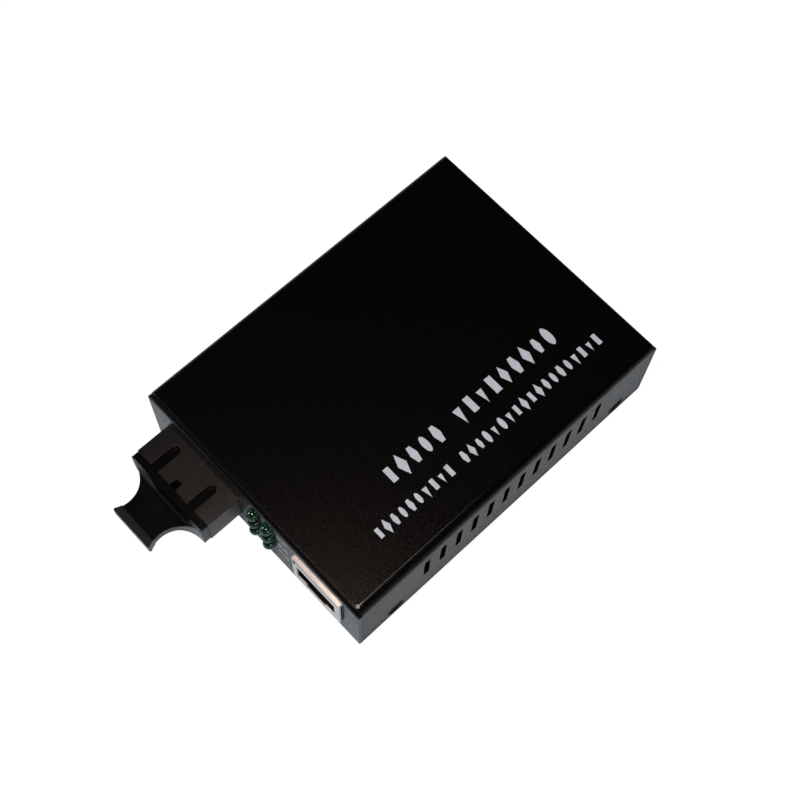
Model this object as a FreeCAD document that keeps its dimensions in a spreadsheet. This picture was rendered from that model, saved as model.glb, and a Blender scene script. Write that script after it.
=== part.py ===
import FreeCAD, Part
import os
import re
import Sketcher
from FreeCAD import Placement, Rotation, Vector

# Fibre media converter: a two-piece sheet-metal case round one circuit board.
# Origin: centre of the case's underside. +X to the right of someone facing the front panel,
# +Y to the rear, +Z up. Millimetres.

doc = FreeCAD.newDocument("media_converter")

# ---------------------------------------------------------------------------------------------
# Driving sizes, kept in the sheet "Sizes"
# ---------------------------------------------------------------------------------------------

SIZES = {
    # case
    "case_length": 94.0,
    "case_width": 70.5,
    "case_height": 26.0,
    "sheet": 1.0,
    "cover_bend": 2.0,
    "tray_bend": 1.3,
    "panel_corner": 0.7,
    "seam_gap": 0.1,
    "cover_lift": 0.2,
    "return_flange": 7.0,
    "side_flange": 7.5,
    # vents and side screws
    "vent_count": 12,
    "vent_pitch": 5.0,
    "vent_width": 1.7,
    "vent_length": 9.6,
    "vent_foot": 10.8,
    "side_shift": 1.15,
    "screw_front_set": 11.45,
    "screw_rear_set": 9.15,
    "screw_rise": 3.8,
    "screw_bore": 3.0,
    "screw_head": 5.0,
    "screw_reach": 4.8,
    "screw_slack": 0.15,
    "thread_gap": 0.05,
    # circuit board and its fixings
    "board_top": 8.0,
    "board_thick": 1.6,
    "board_margin": 2.75,
    "board_corner": 1.5,
    "board_gap": 0.6,
    "board_rear_gap": 1.4,
    "mount_inset": 4.0,
    "mount_front_set": 39.0,
    "mount_rear_set": 20.0,
    "pillar_width": 5.5,
    "pan_head": 5.5,
    "pan_height": 1.9,
    "pan_reach": 5.0,
    "hole_slack": 0.1,
    "pin_reach": 1.4,
    # duplex optical receptacle
    "optic_inset": 18.35,
    "optic_width": 24.6,
    "optic_height": 9.7,
    "optic_reach": 9.2,
    "optic_body": 22.2,
    "optic_edge": 0.3,
    "optic_lift": 0.1,
    "port_pitch": 12.7,
    "port_width": 9.1,
    "port_height": 7.5,
    "port_depth": 12.5,
    "key_width": 2.4,
    "key_length": 7.4,
    "notch_width": 1.8,
    "notch_length": 2.2,
    "notch_depth": 2.6,
    "rib_width": 0.3,
    "rib_height": 0.1,
    "panel_slack": 0.2,
    "collar_bore": 6.6,
    "sleeve_dia": 4.6,
    "sleeve_reach": 6.5,
    "ferrule_bore": 2.5,
    "sender_can": 6.0,
    "receiver_can": 7.5,
    "insert_plate": 1.4,
    "arm_thick": 0.7,
    "arm_length": 6.8,
    "arm_height": 3.0,
    "arm_hook": 0.35,
    "cap_length": 17.4,
    "cap_wall": 0.8,
    "optic_board_width": 21.0,
    "optic_board_length": 14.0,
    "optic_board_thick": 1.0,
    "optic_pin_count": 9,
    "optic_pin_pitch": 2.54,
    "optic_pin_side": 0.5,
    "optic_pin_inset": 2.2,
    "post_side": 1.7,
    "post_spread": 20.3,
    "post_set": 2.5,
    # dust plug
    "plug_width": 24.4,
    "plug_height": 9.4,
    "plug_flange": 1.7,
    "plug_corner": 0.6,
    "plug_gap": 0.1,
    "plug_reach": 12.6,
    "waist_thick": 2.5,
    "root_length": 3.6,
    "bar_width": 12.4,
    "bar_thick": 3.4,
    "bar_depth": 2.1,
    "bar_edge": 0.4,
    "grip_radius": 6.85,
    "grip_ledge": 0.15,
    "shank_gap": 0.12,
    "shank_head": 3.0,
    "shank_reach": 8.2,
    "shank_tip": 6.6,
    "shank_bore": 5.4,
    "key_sink": 0.7,
    # status lamps
    "lamp_place": 1.05,
    "lamp_pitch": 4.6,
    "lamp_rise": 2.1,
    "lamp_drop": 5.5,
    "lamp_dia": 3.0,
    "lamp_reach": 2.1,
    "lamp_body": 4.6,
    "lamp_hole_slack": 0.15,
    "lead_side": 0.45,
    "lead_pitch": 2.54,
    "lead_step": 1.3,
    "holder_depth": 5.0,
    "holder_margin": 2.0,
    # copper socket
    "jack_inset": 13.2,
    "jack_width": 15.7,
    "jack_headroom": 2.3,
    "jack_depth": 16.0,
    "jack_reach": 1.0,
    "jack_bend": 0.4,
    "shield_sheet": 0.25,
    "shield_gap": 0.1,
    "socket_width": 12.0,
    "socket_height": 6.7,
    "socket_foot": 3.0,
    "socket_depth": 12.0,
    "socket_lip": 0.15,
    "latch_width": 6.2,
    "latch_drop": 2.0,
    "contact_pitch": 1.02,
    "contact_width": 0.5,
    "contact_thick": 0.3,
    "contact_channel": 0.8,
    "contact_lean": 18.0,
    "contact_finger": 7.2,
    "jack_post_side": 2.8,
    "jack_post_spread": 11.4,
    "jack_post_set": 9.0,
    "shield_tab": 2.0,
    "shield_tab_set": 13.0,
    # power inlet
    "inlet_inset": 15.25,
    "inlet_width": 9.0,
    "inlet_height": 11.0,
    "inlet_depth": 13.8,
    "inlet_rise": 6.5,
    "inlet_nose": 8.0,
    "inlet_bore": 6.4,
    "inlet_bore_depth": 9.5,
    "inlet_pin": 2.1,
    "inlet_pin_reach": 8.6,
    "inlet_leaf": 0.4,
    "inlet_leaf_width": 3.0,
    "tag_side": 0.8,
    # parts on the board
    "chip_across": 3.0,
    "chip_along": -6.0,
    "chip_side": 14.0,
    "chip_height": 1.6,
    "chip_lead_reach": 1.1,
    "core_inset": 13.25,
    "core_set": 26.0,
    "core_width": 15.2,
    "core_length": 12.6,
    "core_height": 5.6,
    "core_lead_count": 6,
    "core_lead_pitch": 2.0,
    "crystal_across": -14.0,
    "crystal_along": -3.0,
    "crystal_pitch": 4.9,
    "crystal_length": 11.0,
    "crystal_width": 4.6,
    "crystal_height": 3.5,
    "can_cap_right": 4.0,
    "can_cap_left": -7.0,
    "can_cap_set": 10.0,
    "can_cap_dia": 8.0,
    "can_cap_height": 11.0,
    "can_cap_pitch": 3.5,
    "coil_inset": 15.25,
    "coil_set": 27.0,
    "coil_side": 7.0,
    "coil_height": 4.0,
    "regulator_across": 6.0,
    "regulator_set": 25.0,
    "memory_across": -14.0,
    "memory_along": 10.0,
    "memory_width": 3.9,
    "memory_length": 4.9,
    "memory_pitch": 1.27,
    "fuse_set": 18.5,
    "small_part": 1.6,
    "small_pitch": 3.0,
    "small_row_along": 6.0,
}

sheet = doc.addObject("Spreadsheet::Sheet", "Sizes")
for row, (alias, number) in enumerate(SIZES.items(), start=1):
    sheet.set(f"A{row}", alias)
    sheet.set(f"B{row}", str(number))
    sheet.setAlias(f"B{row}", alias)
doc.recompute()

# Places that several pieces share, as formulas of the sizes
FRONT = "(-case_length/2)"
REAR = "(case_length/2)"
PANEL_BACK = "(-case_length/2 + sheet)"
REAR_BACK = "(case_length/2 - sheet)"
COVER_INSIDE = "(case_width/2 - sheet)"
TRAY_HALF = "(case_width/2 - sheet - seam_gap)"
TRAY_TOP = "(case_height - sheet - seam_gap)"
BOARD_UNDER = "(board_top - board_thick)"
BOARD_FRONT = "(-case_length/2 + sheet + board_gap)"
BOARD_BACK = "(case_length/2 - sheet - board_rear_gap)"
BOARD_HALF = "(case_width/2 - board_margin)"
OPTIC_MIDDLE = "(optic_inset - case_width/2)"
OPTIC_FACE = "(-case_length/2 - optic_reach)"
OPTIC_BACK = "(-case_length/2 - optic_reach + optic_body)"
OPTIC_FOOT = "(board_top + optic_lift)"
OPTIC_TOP = "(board_top + optic_lift + optic_height)"
OPTIC_AXIS = "(board_top + optic_lift + optic_height/2)"
OPTIC_BOARD_UNDER = "(board_top + optic_lift + optic_height/2 - collar_bore/2 - optic_board_thick)"
PORT_BACK = "(-case_length/2 - optic_reach + port_depth)"
PLUG_BACK = "(-case_length/2 - optic_reach - plug_gap)"
PLUG_FACE = "(-case_length/2 - optic_reach - plug_gap - plug_flange)"
PLUG_END = "(-case_length/2 - optic_reach - plug_gap - plug_reach)"
PIN_FOOT = "(board_top - board_thick - pin_reach)"
LAMP_BACK = "(-case_length/2 - lamp_reach + lamp_dia/2 + lamp_body)"
JACK_MIDDLE = "(case_width/2 - jack_inset)"
JACK_TOP = "(case_height - 2*sheet - seam_gap - jack_headroom)"
JACK_FACE = "(-case_length/2 - jack_reach)"
JACK_BACK = "(-case_length/2 - jack_reach + jack_depth)"
INLET_MIDDLE = "(case_width/2 - inlet_inset)"
INLET_FACE = "(case_length/2 - sheet - seam_gap)"
INLET_AXIS = "(board_top + inlet_rise)"
SIDE_FRONT = "(-case_length/2 + screw_front_set)"
SIDE_REAR = "(case_length/2 - screw_rear_set)"
COIL_MIDDLE = "(case_width/2 - coil_inset)"


# ---------------------------------------------------------------------------------------------
# Drawing tools: every length they set is bound to a formula of the sheet
# ---------------------------------------------------------------------------------------------

def formula(text):
    """The same formula with each size name pointing at its cell."""
    return re.sub(r"[a-z_]+", lambda word: "Sizes." + word[0] if word[0] in SIZES else word[0],
                  str(text))


def bind(thing, prop, text):
    thing.setExpression(prop, formula(text))


def amount(text):
    return float(sheet.evalExpression(formula(text)))


def new_body(name):
    body = doc.addObject("PartDesign::Body", name)
    body.Label = name
    return body


def sketch_on(body, plane, at="0", across="0", up="0"):
    """A sketch on the body's own plane, moved along its normal and within itself."""
    drawing = body.newObject("Sketcher::SketchObject", "Sketch")
    origin_plane = next(f for f in body.Origin.OriginFeatures if f.Role == plane)
    drawing.AttachmentSupport = (origin_plane, [""])
    drawing.MapMode = "FlatFace"
    for axis, text in (("x", across), ("y", up), ("z", at)):
        bind(drawing, "AttachmentOffset.Base." + axis, text)
    return drawing


def hold(drawing, kind, line, point, text):
    """Keep one coordinate of a point at a formula's value."""
    number = drawing.addConstraint(
        Sketcher.Constraint(kind, -1, 1, line, point, amount(text)))
    drawing.setExpression(f"Constraints[{number}]", formula(text))


def polygon(drawing, points):
    """A closed outline through points whose coordinates are formulas."""
    places = [Vector(amount(x), amount(y), 0) for x, y in points]
    count = len(points)
    lines = [drawing.addGeometry(Part.LineSegment(places[i], places[(i + 1) % count]), False)
             for i in range(count)]
    for i, line in enumerate(lines):
        after = lines[(i + 1) % count]
        drawing.addConstraint(Sketcher.Constraint("Coincident", line, 2, after, 1))
    for line, (x, y) in zip(lines, points):
        hold(drawing, "DistanceX", line, 1, x)
        hold(drawing, "DistanceY", line, 1, y)


def rectangle(drawing, left, right, low, high):
    polygon(drawing, [(left, low), (right, low), (right, high), (left, high)])


def square(drawing, x, y, side):
    rectangle(drawing, f"{x} - ({side})/2", f"{x} + ({side})/2", f"{y} - ({side})/2", f"{y} + ({side})/2")


def circle(drawing, x, y, diameter):
    ring = drawing.addGeometry(
        Part.Circle(Vector(amount(x), amount(y), 0), Vector(0, 0, 1), amount(diameter) / 2), False)
    hold(drawing, "DistanceX", ring, 3, x)
    hold(drawing, "DistanceY", ring, 3, y)
    number = drawing.addConstraint(Sketcher.Constraint("Diameter", ring, amount(diameter)))
    drawing.setExpression(f"Constraints[{number}]", formula(diameter))


def slot(drawing, x, low, high, width):
    """An upright slot with round ends."""
    middle, bottom, top = amount(x), amount(low), amount(high)
    radius = amount(width) / 2
    up = Vector(0, 0, 1)
    ends = []
    for height, start, stop in ((top - radius, 0.0, 3.14159265), (bottom + radius, 3.14159265, 6.2831853)):
        ring = Part.Circle(Vector(middle, height, 0), up, radius)
        ends.append(drawing.addGeometry(Part.ArcOfCircle(ring, start, stop), False))
    sides = []
    for side in (-radius, radius):
        sides.append(drawing.addGeometry(Part.LineSegment(
            Vector(middle + side, bottom + radius, 0), Vector(middle + side, top - radius, 0)), False))
    upper, lower = ends
    left, right = sides
    for arc, arc_end, line, line_end in ((upper, 2, left, 2), (upper, 1, right, 2),
                                         (lower, 1, left, 1), (lower, 2, right, 1)):
        drawing.addConstraint(Sketcher.Constraint("Tangent", arc, arc_end, line, line_end))
    drawing.addConstraint(Sketcher.Constraint("Equal", upper, lower))
    number = drawing.addConstraint(Sketcher.Constraint("Radius", upper, radius))
    drawing.setExpression(f"Constraints[{number}]", formula(f"({width})/2"))
    hold(drawing, "DistanceX", upper, 3, x)
    hold(drawing, "DistanceX", lower, 3, x)
    hold(drawing, "DistanceY", upper, 3, f"{high} - ({width})/2")
    hold(drawing, "DistanceY", lower, 3, f"{low} + ({width})/2")


def pad(body, drawing, length, symmetric=False, backwards=False):
    feature = body.newObject("PartDesign::Pad", "Pad")
    feature.Profile = drawing
    feature.SideType = "Symmetric" if symmetric else "One side"
    feature.Reversed = backwards
    bind(feature, "Length", length)
    body.Tip = feature
    doc.recompute()
    return feature


def pocket(body, drawing, depth=None, symmetric=False, backwards=False):
    """A cut to a depth, or right through; it has to take material away."""
    before = body.Shape.Volume
    feature = body.newObject("PartDesign::Pocket", "Pocket")
    feature.Profile = drawing
    feature.SideType = "Symmetric" if symmetric else "One side"
    feature.Reversed = backwards
    if depth is None:
        feature.Type = "ThroughAll"
    else:
        bind(feature, "Length", depth)
    body.Tip = feature
    doc.recompute()
    if body.Shape.Volume > before - 0.001:
        raise RuntimeError(f"{feature.Label} cuts nothing from {body.Label}")
    return feature


def turn(body, drawing, axis, cut=False):
    """A solid of revolution about one of the sketch's axes, or a cut of that shape."""
    before = body.Shape.Volume if cut else 0
    feature = body.newObject("PartDesign::Groove" if cut else "PartDesign::Revolution", "Turned")
    feature.Profile = drawing
    feature.ReferenceAxis = (drawing, [axis])
    feature.Angle = 360
    body.Tip = feature
    doc.recompute()
    if cut and body.Shape.Volume > before - 0.001:
        raise RuntimeError(f"{feature.Label} cuts nothing from {body.Label}")
    return feature


def line_up(body, feature, axis, length, count):
    """Repeat a feature along one of the body's axes."""
    pattern = body.newObject("PartDesign::LinearPattern", "Row")
    pattern.Originals = [feature]
    direction = next(f for f in body.Origin.OriginFeatures if f.Role == axis)
    pattern.Direction = (direction, [""])
    bind(pattern, "Length", length)
    bind(pattern, "Occurrences", count)
    body.Tip = pattern
    doc.recompute()
    return pattern


def row_and_mirror(body, feature, axis, length, count, plane):
    """Repeat a feature in a row, and mirror the row about one of the body's planes."""
    both = body.newObject("PartDesign::MultiTransform", "RowAndMirror")
    both.Originals = [feature]
    row_of = body.newObject("PartDesign::LinearPattern", "Row")
    direction = next(f for f in body.Origin.OriginFeatures if f.Role == axis)
    row_of.Direction = (direction, [""])
    bind(row_of, "Length", length)
    bind(row_of, "Occurrences", count)
    mirror = body.newObject("PartDesign::Mirrored", "Mirror")
    middle = next(f for f in body.Origin.OriginFeatures if f.Role == plane)
    mirror.MirrorPlane = (middle, [""])
    both.Transformations = [row_of, mirror]
    body.Tip = both
    doc.recompute()
    return both


def edge_names(shape, test):
    """Names of the straight or round edges that pass a test of their middle and direction."""
    names = []
    for number, edge in enumerate(shape.Edges, start=1):
        middle = edge.valueAt((edge.FirstParameter + edge.LastParameter) / 2)
        way = edge.tangentAt(edge.FirstParameter)
        if test(edge, middle, way):
            names.append(f"Edge{number}")
    return names


def face_names(shape, test):
    """Names of the flat faces that pass a test of their centre and outward normal."""
    return [f"Face{number}" for number, face in enumerate(shape.Faces, start=1)
            if face.Surface.TypeId == "Part::GeomPlane"
            and test(face.CenterOfMass, face.normalAt(0, 0))]


def round_edges(body, test, radius):
    base = body.Tip
    names = edge_names(base.Shape, test)
    if not names:
        raise RuntimeError(f"no edge to round on {body.Label}")
    feature = body.newObject("PartDesign::Fillet", "Rounding")
    feature.Base = (base, names)
    bind(feature, "Radius", radius)
    body.Tip = feature
    doc.recompute()
    return feature


def shell(body, test, wall):
    """Hollow the body to a wall, open at the faces that pass the test."""
    base = body.Tip
    feature = body.newObject("PartDesign::Thickness", "Shell")
    feature.Base = (base, face_names(base.Shape, test))
    feature.Reversed = True
    bind(feature, "Value", wall)
    body.Tip = feature
    doc.recompute()
    return feature


def near(one, other):
    return abs(one - other) < 0.01


def along(axis):
    """A test for edges that run along an axis."""
    return lambda way: near(abs(getattr(way, axis)), 1)


def place(thing, x="0", y="0", z="0"):
    for axis, text in (("x", x), ("y", y), ("z", z)):
        bind(thing, "Placement.Base." + axis, text)
    return thing


def box(x, y, z, length, width, height, name="Block"):
    """A block given by its low corner and its sizes."""
    block = doc.addObject("Part::Box", name)
    bind(block, "Length", length)
    bind(block, "Width", width)
    bind(block, "Height", height)
    return place(block, x, y, z)


def upright(x, y, z, diameter, height, name="Round"):
    """A round bar that stands on its low end."""
    bar = doc.addObject("Part::Cylinder", name)
    bind(bar, "Radius", f"({diameter})/2")
    bind(bar, "Height", height)
    return place(bar, x, y, z)


def bar_along_y(x, y, z, diameter, length, name="Round"):
    """A round bar that runs to the rear from its front end."""
    bar = upright(x, y, z, diameter, length, name)
    bar.Placement = Placement(bar.Placement.Base, Rotation(Vector(1, 0, 0), -90))
    return place(bar, x, y, z)


def fuse(name, pieces):
    joined = doc.addObject("Part::MultiFuse", name)
    joined.Shapes = pieces
    joined.Refine = True
    joined.Label = name
    return joined


def cut_away(name, base, tool):
    left = doc.addObject("Part::Cut", name)
    left.Base = base
    left.Tool = tool
    left.Label = name
    return left


def group(name, pieces):
    """Like pieces that share one node, each still a solid of its own."""
    together = doc.addObject("Part::Compound", name)
    together.Links = pieces
    together.Label = name
    return together


def copies(name, master, spots):
    """A master piece set down at several spots, each with its turn about Z in degrees."""
    links = []
    for x, y, z, angle in spots:
        link = doc.addObject("App::Link", name + "_copy")
        link.LinkedObject = master
        link.Placement = Placement(Vector(), Rotation(Vector(0, 0, 1), angle))
        links.append(place(link, x, y, z))
    return group(name, links)


# ---------------------------------------------------------------------------------------------
# Case
# ---------------------------------------------------------------------------------------------

def make_cover():
    """The lid: one sheet bent down both sides, with twelve vents and two countersinks a side."""
    body = new_body("cover")
    outline = sketch_on(body, "XZ_Plane", at=f"-({REAR_BACK} - seam_gap)")
    rectangle(outline, "-case_width/2", "case_width/2", "cover_lift", "case_height")
    pad(body, outline, "case_length - 2*sheet - 2*seam_gap")
    top = amount("case_height")
    round_edges(body, lambda edge, middle, way: along("y")(way) and near(middle.z, top), "cover_bend")
    shell(body, lambda middle, normal: abs(normal.y) > 0.9 or normal.z < -0.9, "sheet")

    vent = sketch_on(body, "YZ_Plane", at="case_width/2 + sheet")
    first = "(side_shift - (vent_count - 1)*vent_pitch/2)"
    rectangle(vent, f"{first} - vent_width/2", f"{first} + vent_width/2", "vent_foot",
              "vent_foot + vent_length")
    opening = pocket(body, vent)
    line_up(body, opening, "Y_Axis", "(vent_count - 1)*vent_pitch", "vent_count")

    cone = sketch_on(body, "XZ_Plane", at=f"-{SIDE_FRONT}", up="screw_rise")
    polygon(cone, [(COVER_INSIDE, "0"),
                   ("case_width/2", "0"),
                   ("case_width/2", "screw_head/2 + screw_slack"),
                   (COVER_INSIDE, "screw_bore/2 + screw_slack")])
    sink = turn(body, cone, "H_Axis", cut=True)
    row_and_mirror(body, sink, "Y_Axis", f"{SIDE_REAR} - {SIDE_FRONT}", "2", "YZ_Plane")
    return body


def lamp_height(level):
    """The height of the lower, middle or upper pair of lamps."""
    step = "(case_height - lamp_drop - board_top - lamp_rise)/2"
    return f"(board_top + lamp_rise + {level}*{step})"


def make_chassis():
    """The tray: floor, front and rear panels and their return flanges, bent from one sheet."""
    body = new_body("chassis")
    outline = sketch_on(body, "YZ_Plane")
    rectangle(outline, FRONT, REAR, "0", TRAY_TOP)
    pad(body, outline, "case_width", symmetric=True)
    half = amount(REAR)
    round_edges(body, lambda edge, middle, way: along("x")(way) and near(abs(middle.y), half),
                "tray_bend")
    shell(body, lambda middle, normal: abs(normal.x) > 0.9, "sheet")

    mouth = sketch_on(body, "XY_Plane", at="case_height")
    rectangle(mouth, "-case_width", "case_width", f"{FRONT} + return_flange", f"{REAR} - return_flange")
    pocket(body, mouth, "case_height/2")

    # room for the lid's sides beside the floor, and for its bends beside the return flanges
    for side in (-1, 1):
        strip = sketch_on(body, "XY_Plane", at="case_height")
        inner, outer = f"{side}*{TRAY_HALF}", f"{side}*case_width"
        left, right = sorted((inner, outer), key=amount)
        rectangle(strip, left, right, PANEL_BACK, REAR_BACK)
        pocket(body, strip)
        shoulder = sketch_on(body, "XY_Plane", at="case_height")
        inner = f"{side}*(case_width/2 - cover_bend)"
        left, right = sorted((inner, outer), key=amount)
        rectangle(shoulder, left, right, PANEL_BACK, REAR_BACK)
        pocket(body, shoulder, "2*sheet + seam_gap + tray_bend")
        corner = sketch_on(body, "XZ_Plane", at="-case_length")
        polygon(corner, [(f"{side}*(case_width/2 - panel_corner)", "case_height"),
                         (f"{side}*(case_width/2 - panel_corner)", TRAY_TOP),
                         (f"{side}*case_width/2", f"{TRAY_TOP} - panel_corner"),
                         (f"{side}*(case_width/2 + sheet)", "case_height")])
        pocket(body, corner, backwards=True)

    # side flanges that the lid is screwed to
    for side in (-1, 1):
        upstand = sketch_on(body, "XZ_Plane", at=f"-({REAR_BACK} - tray_bend)")
        ends = sorted((f"{side}*{TRAY_HALF}", f"{side}*({TRAY_HALF} - sheet)"), key=amount)
        rectangle(upstand, ends[0], ends[1], "0", "side_flange")
        pad(body, upstand, "case_length - 2*sheet - 2*tray_bend")
    tray_half = amount(TRAY_HALF)
    round_edges(body, lambda edge, middle, way: along("y")(way) and near(middle.z, 0)
                and near(abs(middle.x), tray_half), "0.9*sheet")
    tapped = sketch_on(body, "YZ_Plane", at="case_width")
    for spot in (SIDE_FRONT, SIDE_REAR):
        circle(tapped, spot, "screw_rise", "screw_bore + 2*thread_gap")
    pocket(body, tapped)

    # front panel openings
    optics = sketch_on(body, "XZ_Plane", at="case_length")
    rectangle(optics, f"{OPTIC_MIDDLE} - optic_width/2 - panel_slack",
              f"{OPTIC_MIDDLE} + optic_width/2 + panel_slack",
              f"{OPTIC_FOOT} - panel_slack", f"{OPTIC_TOP} + panel_slack")
    pocket(body, optics, f"case_length + {FRONT} + 2*sheet")
    copper = sketch_on(body, "XZ_Plane", at="case_length")
    rectangle(copper, f"{JACK_MIDDLE} - jack_width/2 - panel_slack",
              f"{JACK_MIDDLE} + jack_width/2 + panel_slack",
              "board_top - panel_slack", f"{JACK_TOP} + panel_slack")
    pocket(body, copper, f"case_length + {FRONT} + 2*sheet")
    lamps = sketch_on(body, "XZ_Plane", at="case_length")
    for column in range(2):
        for level in range(3):
            circle(lamps, f"lamp_place + {column}*lamp_pitch", lamp_height(level),
                   "lamp_dia + 2*lamp_hole_slack")
    pocket(body, lamps, f"case_length + {FRONT} + 2*sheet")

    # rear panel opening for the power inlet
    power = sketch_on(body, "XZ_Plane", at="-case_length")
    circle(power, INLET_MIDDLE, INLET_AXIS, "inlet_nose + 2*panel_slack")
    pocket(body, power, f"case_length - {REAR_BACK} + sheet", backwards=True)
    return body


def make_screw(name, head, head_height, reach, countersunk):
    """A turned screw that stands on its axis, the top of its head at the origin."""
    body = new_body(name)
    profile = sketch_on(body, "XZ_Plane")
    if countersunk:
        polygon(profile, [("0", "0"), (f"{head}/2", "0"), ("screw_bore/2", f"-({head_height})"),
                          ("screw_bore/2", f"-({reach})"), ("0", f"-({reach})")])
    else:
        polygon(profile, [("0", "0"), (f"{head}/2", "0"), (f"{head}/2", f"-{head_height}"),
                          ("screw_bore/2", f"-{head_height}"),
                          ("screw_bore/2", f"-({head_height} + {reach})"),
                          ("0", f"-({head_height} + {reach})")])
    turn(body, profile, "V_Axis")
    return body


def make_cover_screws():
    """Four countersunk screws that hold the lid to the tray's side flanges."""
    master = make_screw("cover_screw", "screw_head", "(screw_head - screw_bore)/2", "screw_reach", True)
    links = []
    for side in (-1, 1):
        for spot in (SIDE_FRONT, SIDE_REAR):
            link = doc.addObject("App::Link", "cover_screw_copy")
            link.LinkedObject = master
            link.Placement = Placement(Vector(), Rotation(Vector(0, 1, 0), side * 90))
            links.append(place(link, f"{side}*case_width/2", spot, "screw_rise"))
    return group("cover_screws", links)


# ---------------------------------------------------------------------------------------------
# Circuit board and its fixings
# ---------------------------------------------------------------------------------------------

MOUNTS = [(f"{across}*({BOARD_HALF} - mount_inset)", spot) for across in (-1, 1)
          for spot in (f"({FRONT} + mount_front_set)", f"({REAR} - mount_rear_set)")]
OPTIC_PINS = [(f"{OPTIC_MIDDLE} + ({i} - (optic_pin_count - 1)/2)*optic_pin_pitch",
               f"({OPTIC_BACK} + cap_length - optic_pin_inset)") for i in range(9)]
OPTIC_POSTS = [(f"{OPTIC_MIDDLE} + {side}*post_spread/2", f"({OPTIC_BACK} - post_set)")
               for side in (-1, 1)]
JACK_POSTS = [(f"{JACK_MIDDLE} + {side}*jack_post_spread/2", f"({JACK_FACE} + jack_post_set)")
              for side in (-1, 1)]
CONTACT_DROP = "(contact_thick + 1.2)"
CONTACTS = [(f"{JACK_MIDDLE} + {i - 3.5}*contact_pitch",
             f"({JACK_BACK} - shield_sheet - 0.6 - {i % 2}*{CONTACT_DROP})") for i in range(8)]
SHIELD_TABS = [(f"{JACK_MIDDLE} + {side}*(jack_width/2 - shield_sheet/2)",
                f"({JACK_FACE} + shield_tab_set)") for side in (-1, 1)]
LEADS = [(column, level, leg,
          f"lamp_place + {column}*lamp_pitch + {leg}*lead_pitch/2",
          f"({LAMP_BACK} + holder_depth + ({level} + 0.6)*lead_step)")
         for column in range(2) for level in range(3) for leg in (-1, 1)]
INLET_TAGS = [(INLET_MIDDLE, f"({INLET_FACE} - inlet_depth + 1.2)"),
              (INLET_MIDDLE, f"({INLET_FACE} - inlet_depth/2)"),
              (f"({INLET_MIDDLE} - inlet_width/2 + tag_side)", f"({INLET_FACE} - inlet_depth/2 + 1.5)")]
CAN_CAPS = [("capacitor_input", "can_cap_right", f"({REAR} - can_cap_set)"),
            ("capacitor_output", "can_cap_left", f"({REAR} - can_cap_set)")]
CAN_CAP_LEGS = [(f"{x} + {side}*can_cap_pitch/2", y) for _, x, y in CAN_CAPS for side in (-1, 1)]
CRYSTAL_LEGS = [(f"crystal_across + {side}*crystal_pitch/2", "crystal_along") for side in (-1, 1)]


def make_board():
    """The circuit board, drilled for every lead, post and screw that passes through it."""
    body = new_body("circuit_board")
    outline = sketch_on(body, "XY_Plane", at=BOARD_UNDER)
    rectangle(outline, f"-{BOARD_HALF}", BOARD_HALF, BOARD_FRONT, BOARD_BACK)
    pad(body, outline, "board_thick")
    round_edges(body, lambda edge, middle, way: along("z")(way), "board_corner")
    drill = sketch_on(body, "XY_Plane", at="board_top")
    for x, y in MOUNTS:
        circle(drill, x, y, "screw_bore + 2*hole_slack")
    pocket(body, drill)
    lamp_legs = [(x, y) for _, _, _, x, y in LEADS]
    for spots, side in ((OPTIC_PINS, "optic_pin_side"), (OPTIC_POSTS, "post_side"),
                        (JACK_POSTS, "jack_post_side"), (CONTACTS, "contact_width"),
                        (INLET_TAGS, "tag_side"), (lamp_legs, "lead_side"),
                        (CAN_CAP_LEGS + CRYSTAL_LEGS, "lead_side")):
        punch = sketch_on(body, "XY_Plane", at="board_top")
        for x, y in spots:
            square(punch, x, y, f"{side} + 2*hole_slack")
        pocket(body, punch)
    slits = sketch_on(body, "XY_Plane", at="board_top")
    for x, y in SHIELD_TABS:
        rectangle(slits, f"{x} - shield_sheet/2 - hole_slack", f"{x} + shield_sheet/2 + hole_slack",
                  f"{y} - shield_tab/2 - hole_slack", f"{y} + shield_tab/2 + hole_slack")
    pocket(body, slits)
    return body


def make_pillars():
    """Four hexagonal tapped pillars that stand on the floor."""
    hexagon = doc.addObject("Part::Prism", "pillar_hexagon")
    bind(hexagon, "Circumradius", "pillar_width/2/cos(30)")
    bind(hexagon, "Height", f"{BOARD_UNDER} - sheet")
    thread = upright("0", "0", "-sheet", "screw_bore + 2*thread_gap", "case_height", "pillar_thread")
    master = cut_away("pillar", hexagon, thread)
    return copies("board_pillars", master, [(x, y, "sheet", 0) for x, y in MOUNTS])


def make_board_screws():
    """Four pan-head screws that hold the board down on its pillars."""
    master = make_screw("board_screw", "pan_head", "pan_height", "pan_reach", False)
    return copies("board_screws", master,
                  [(x, y, "board_top + pan_height", 0) for x, y in MOUNTS])


# ---------------------------------------------------------------------------------------------
# Duplex optical transceiver
# ---------------------------------------------------------------------------------------------

def port_x(side):
    return f"({OPTIC_MIDDLE} + {side}*port_pitch/2)"


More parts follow.
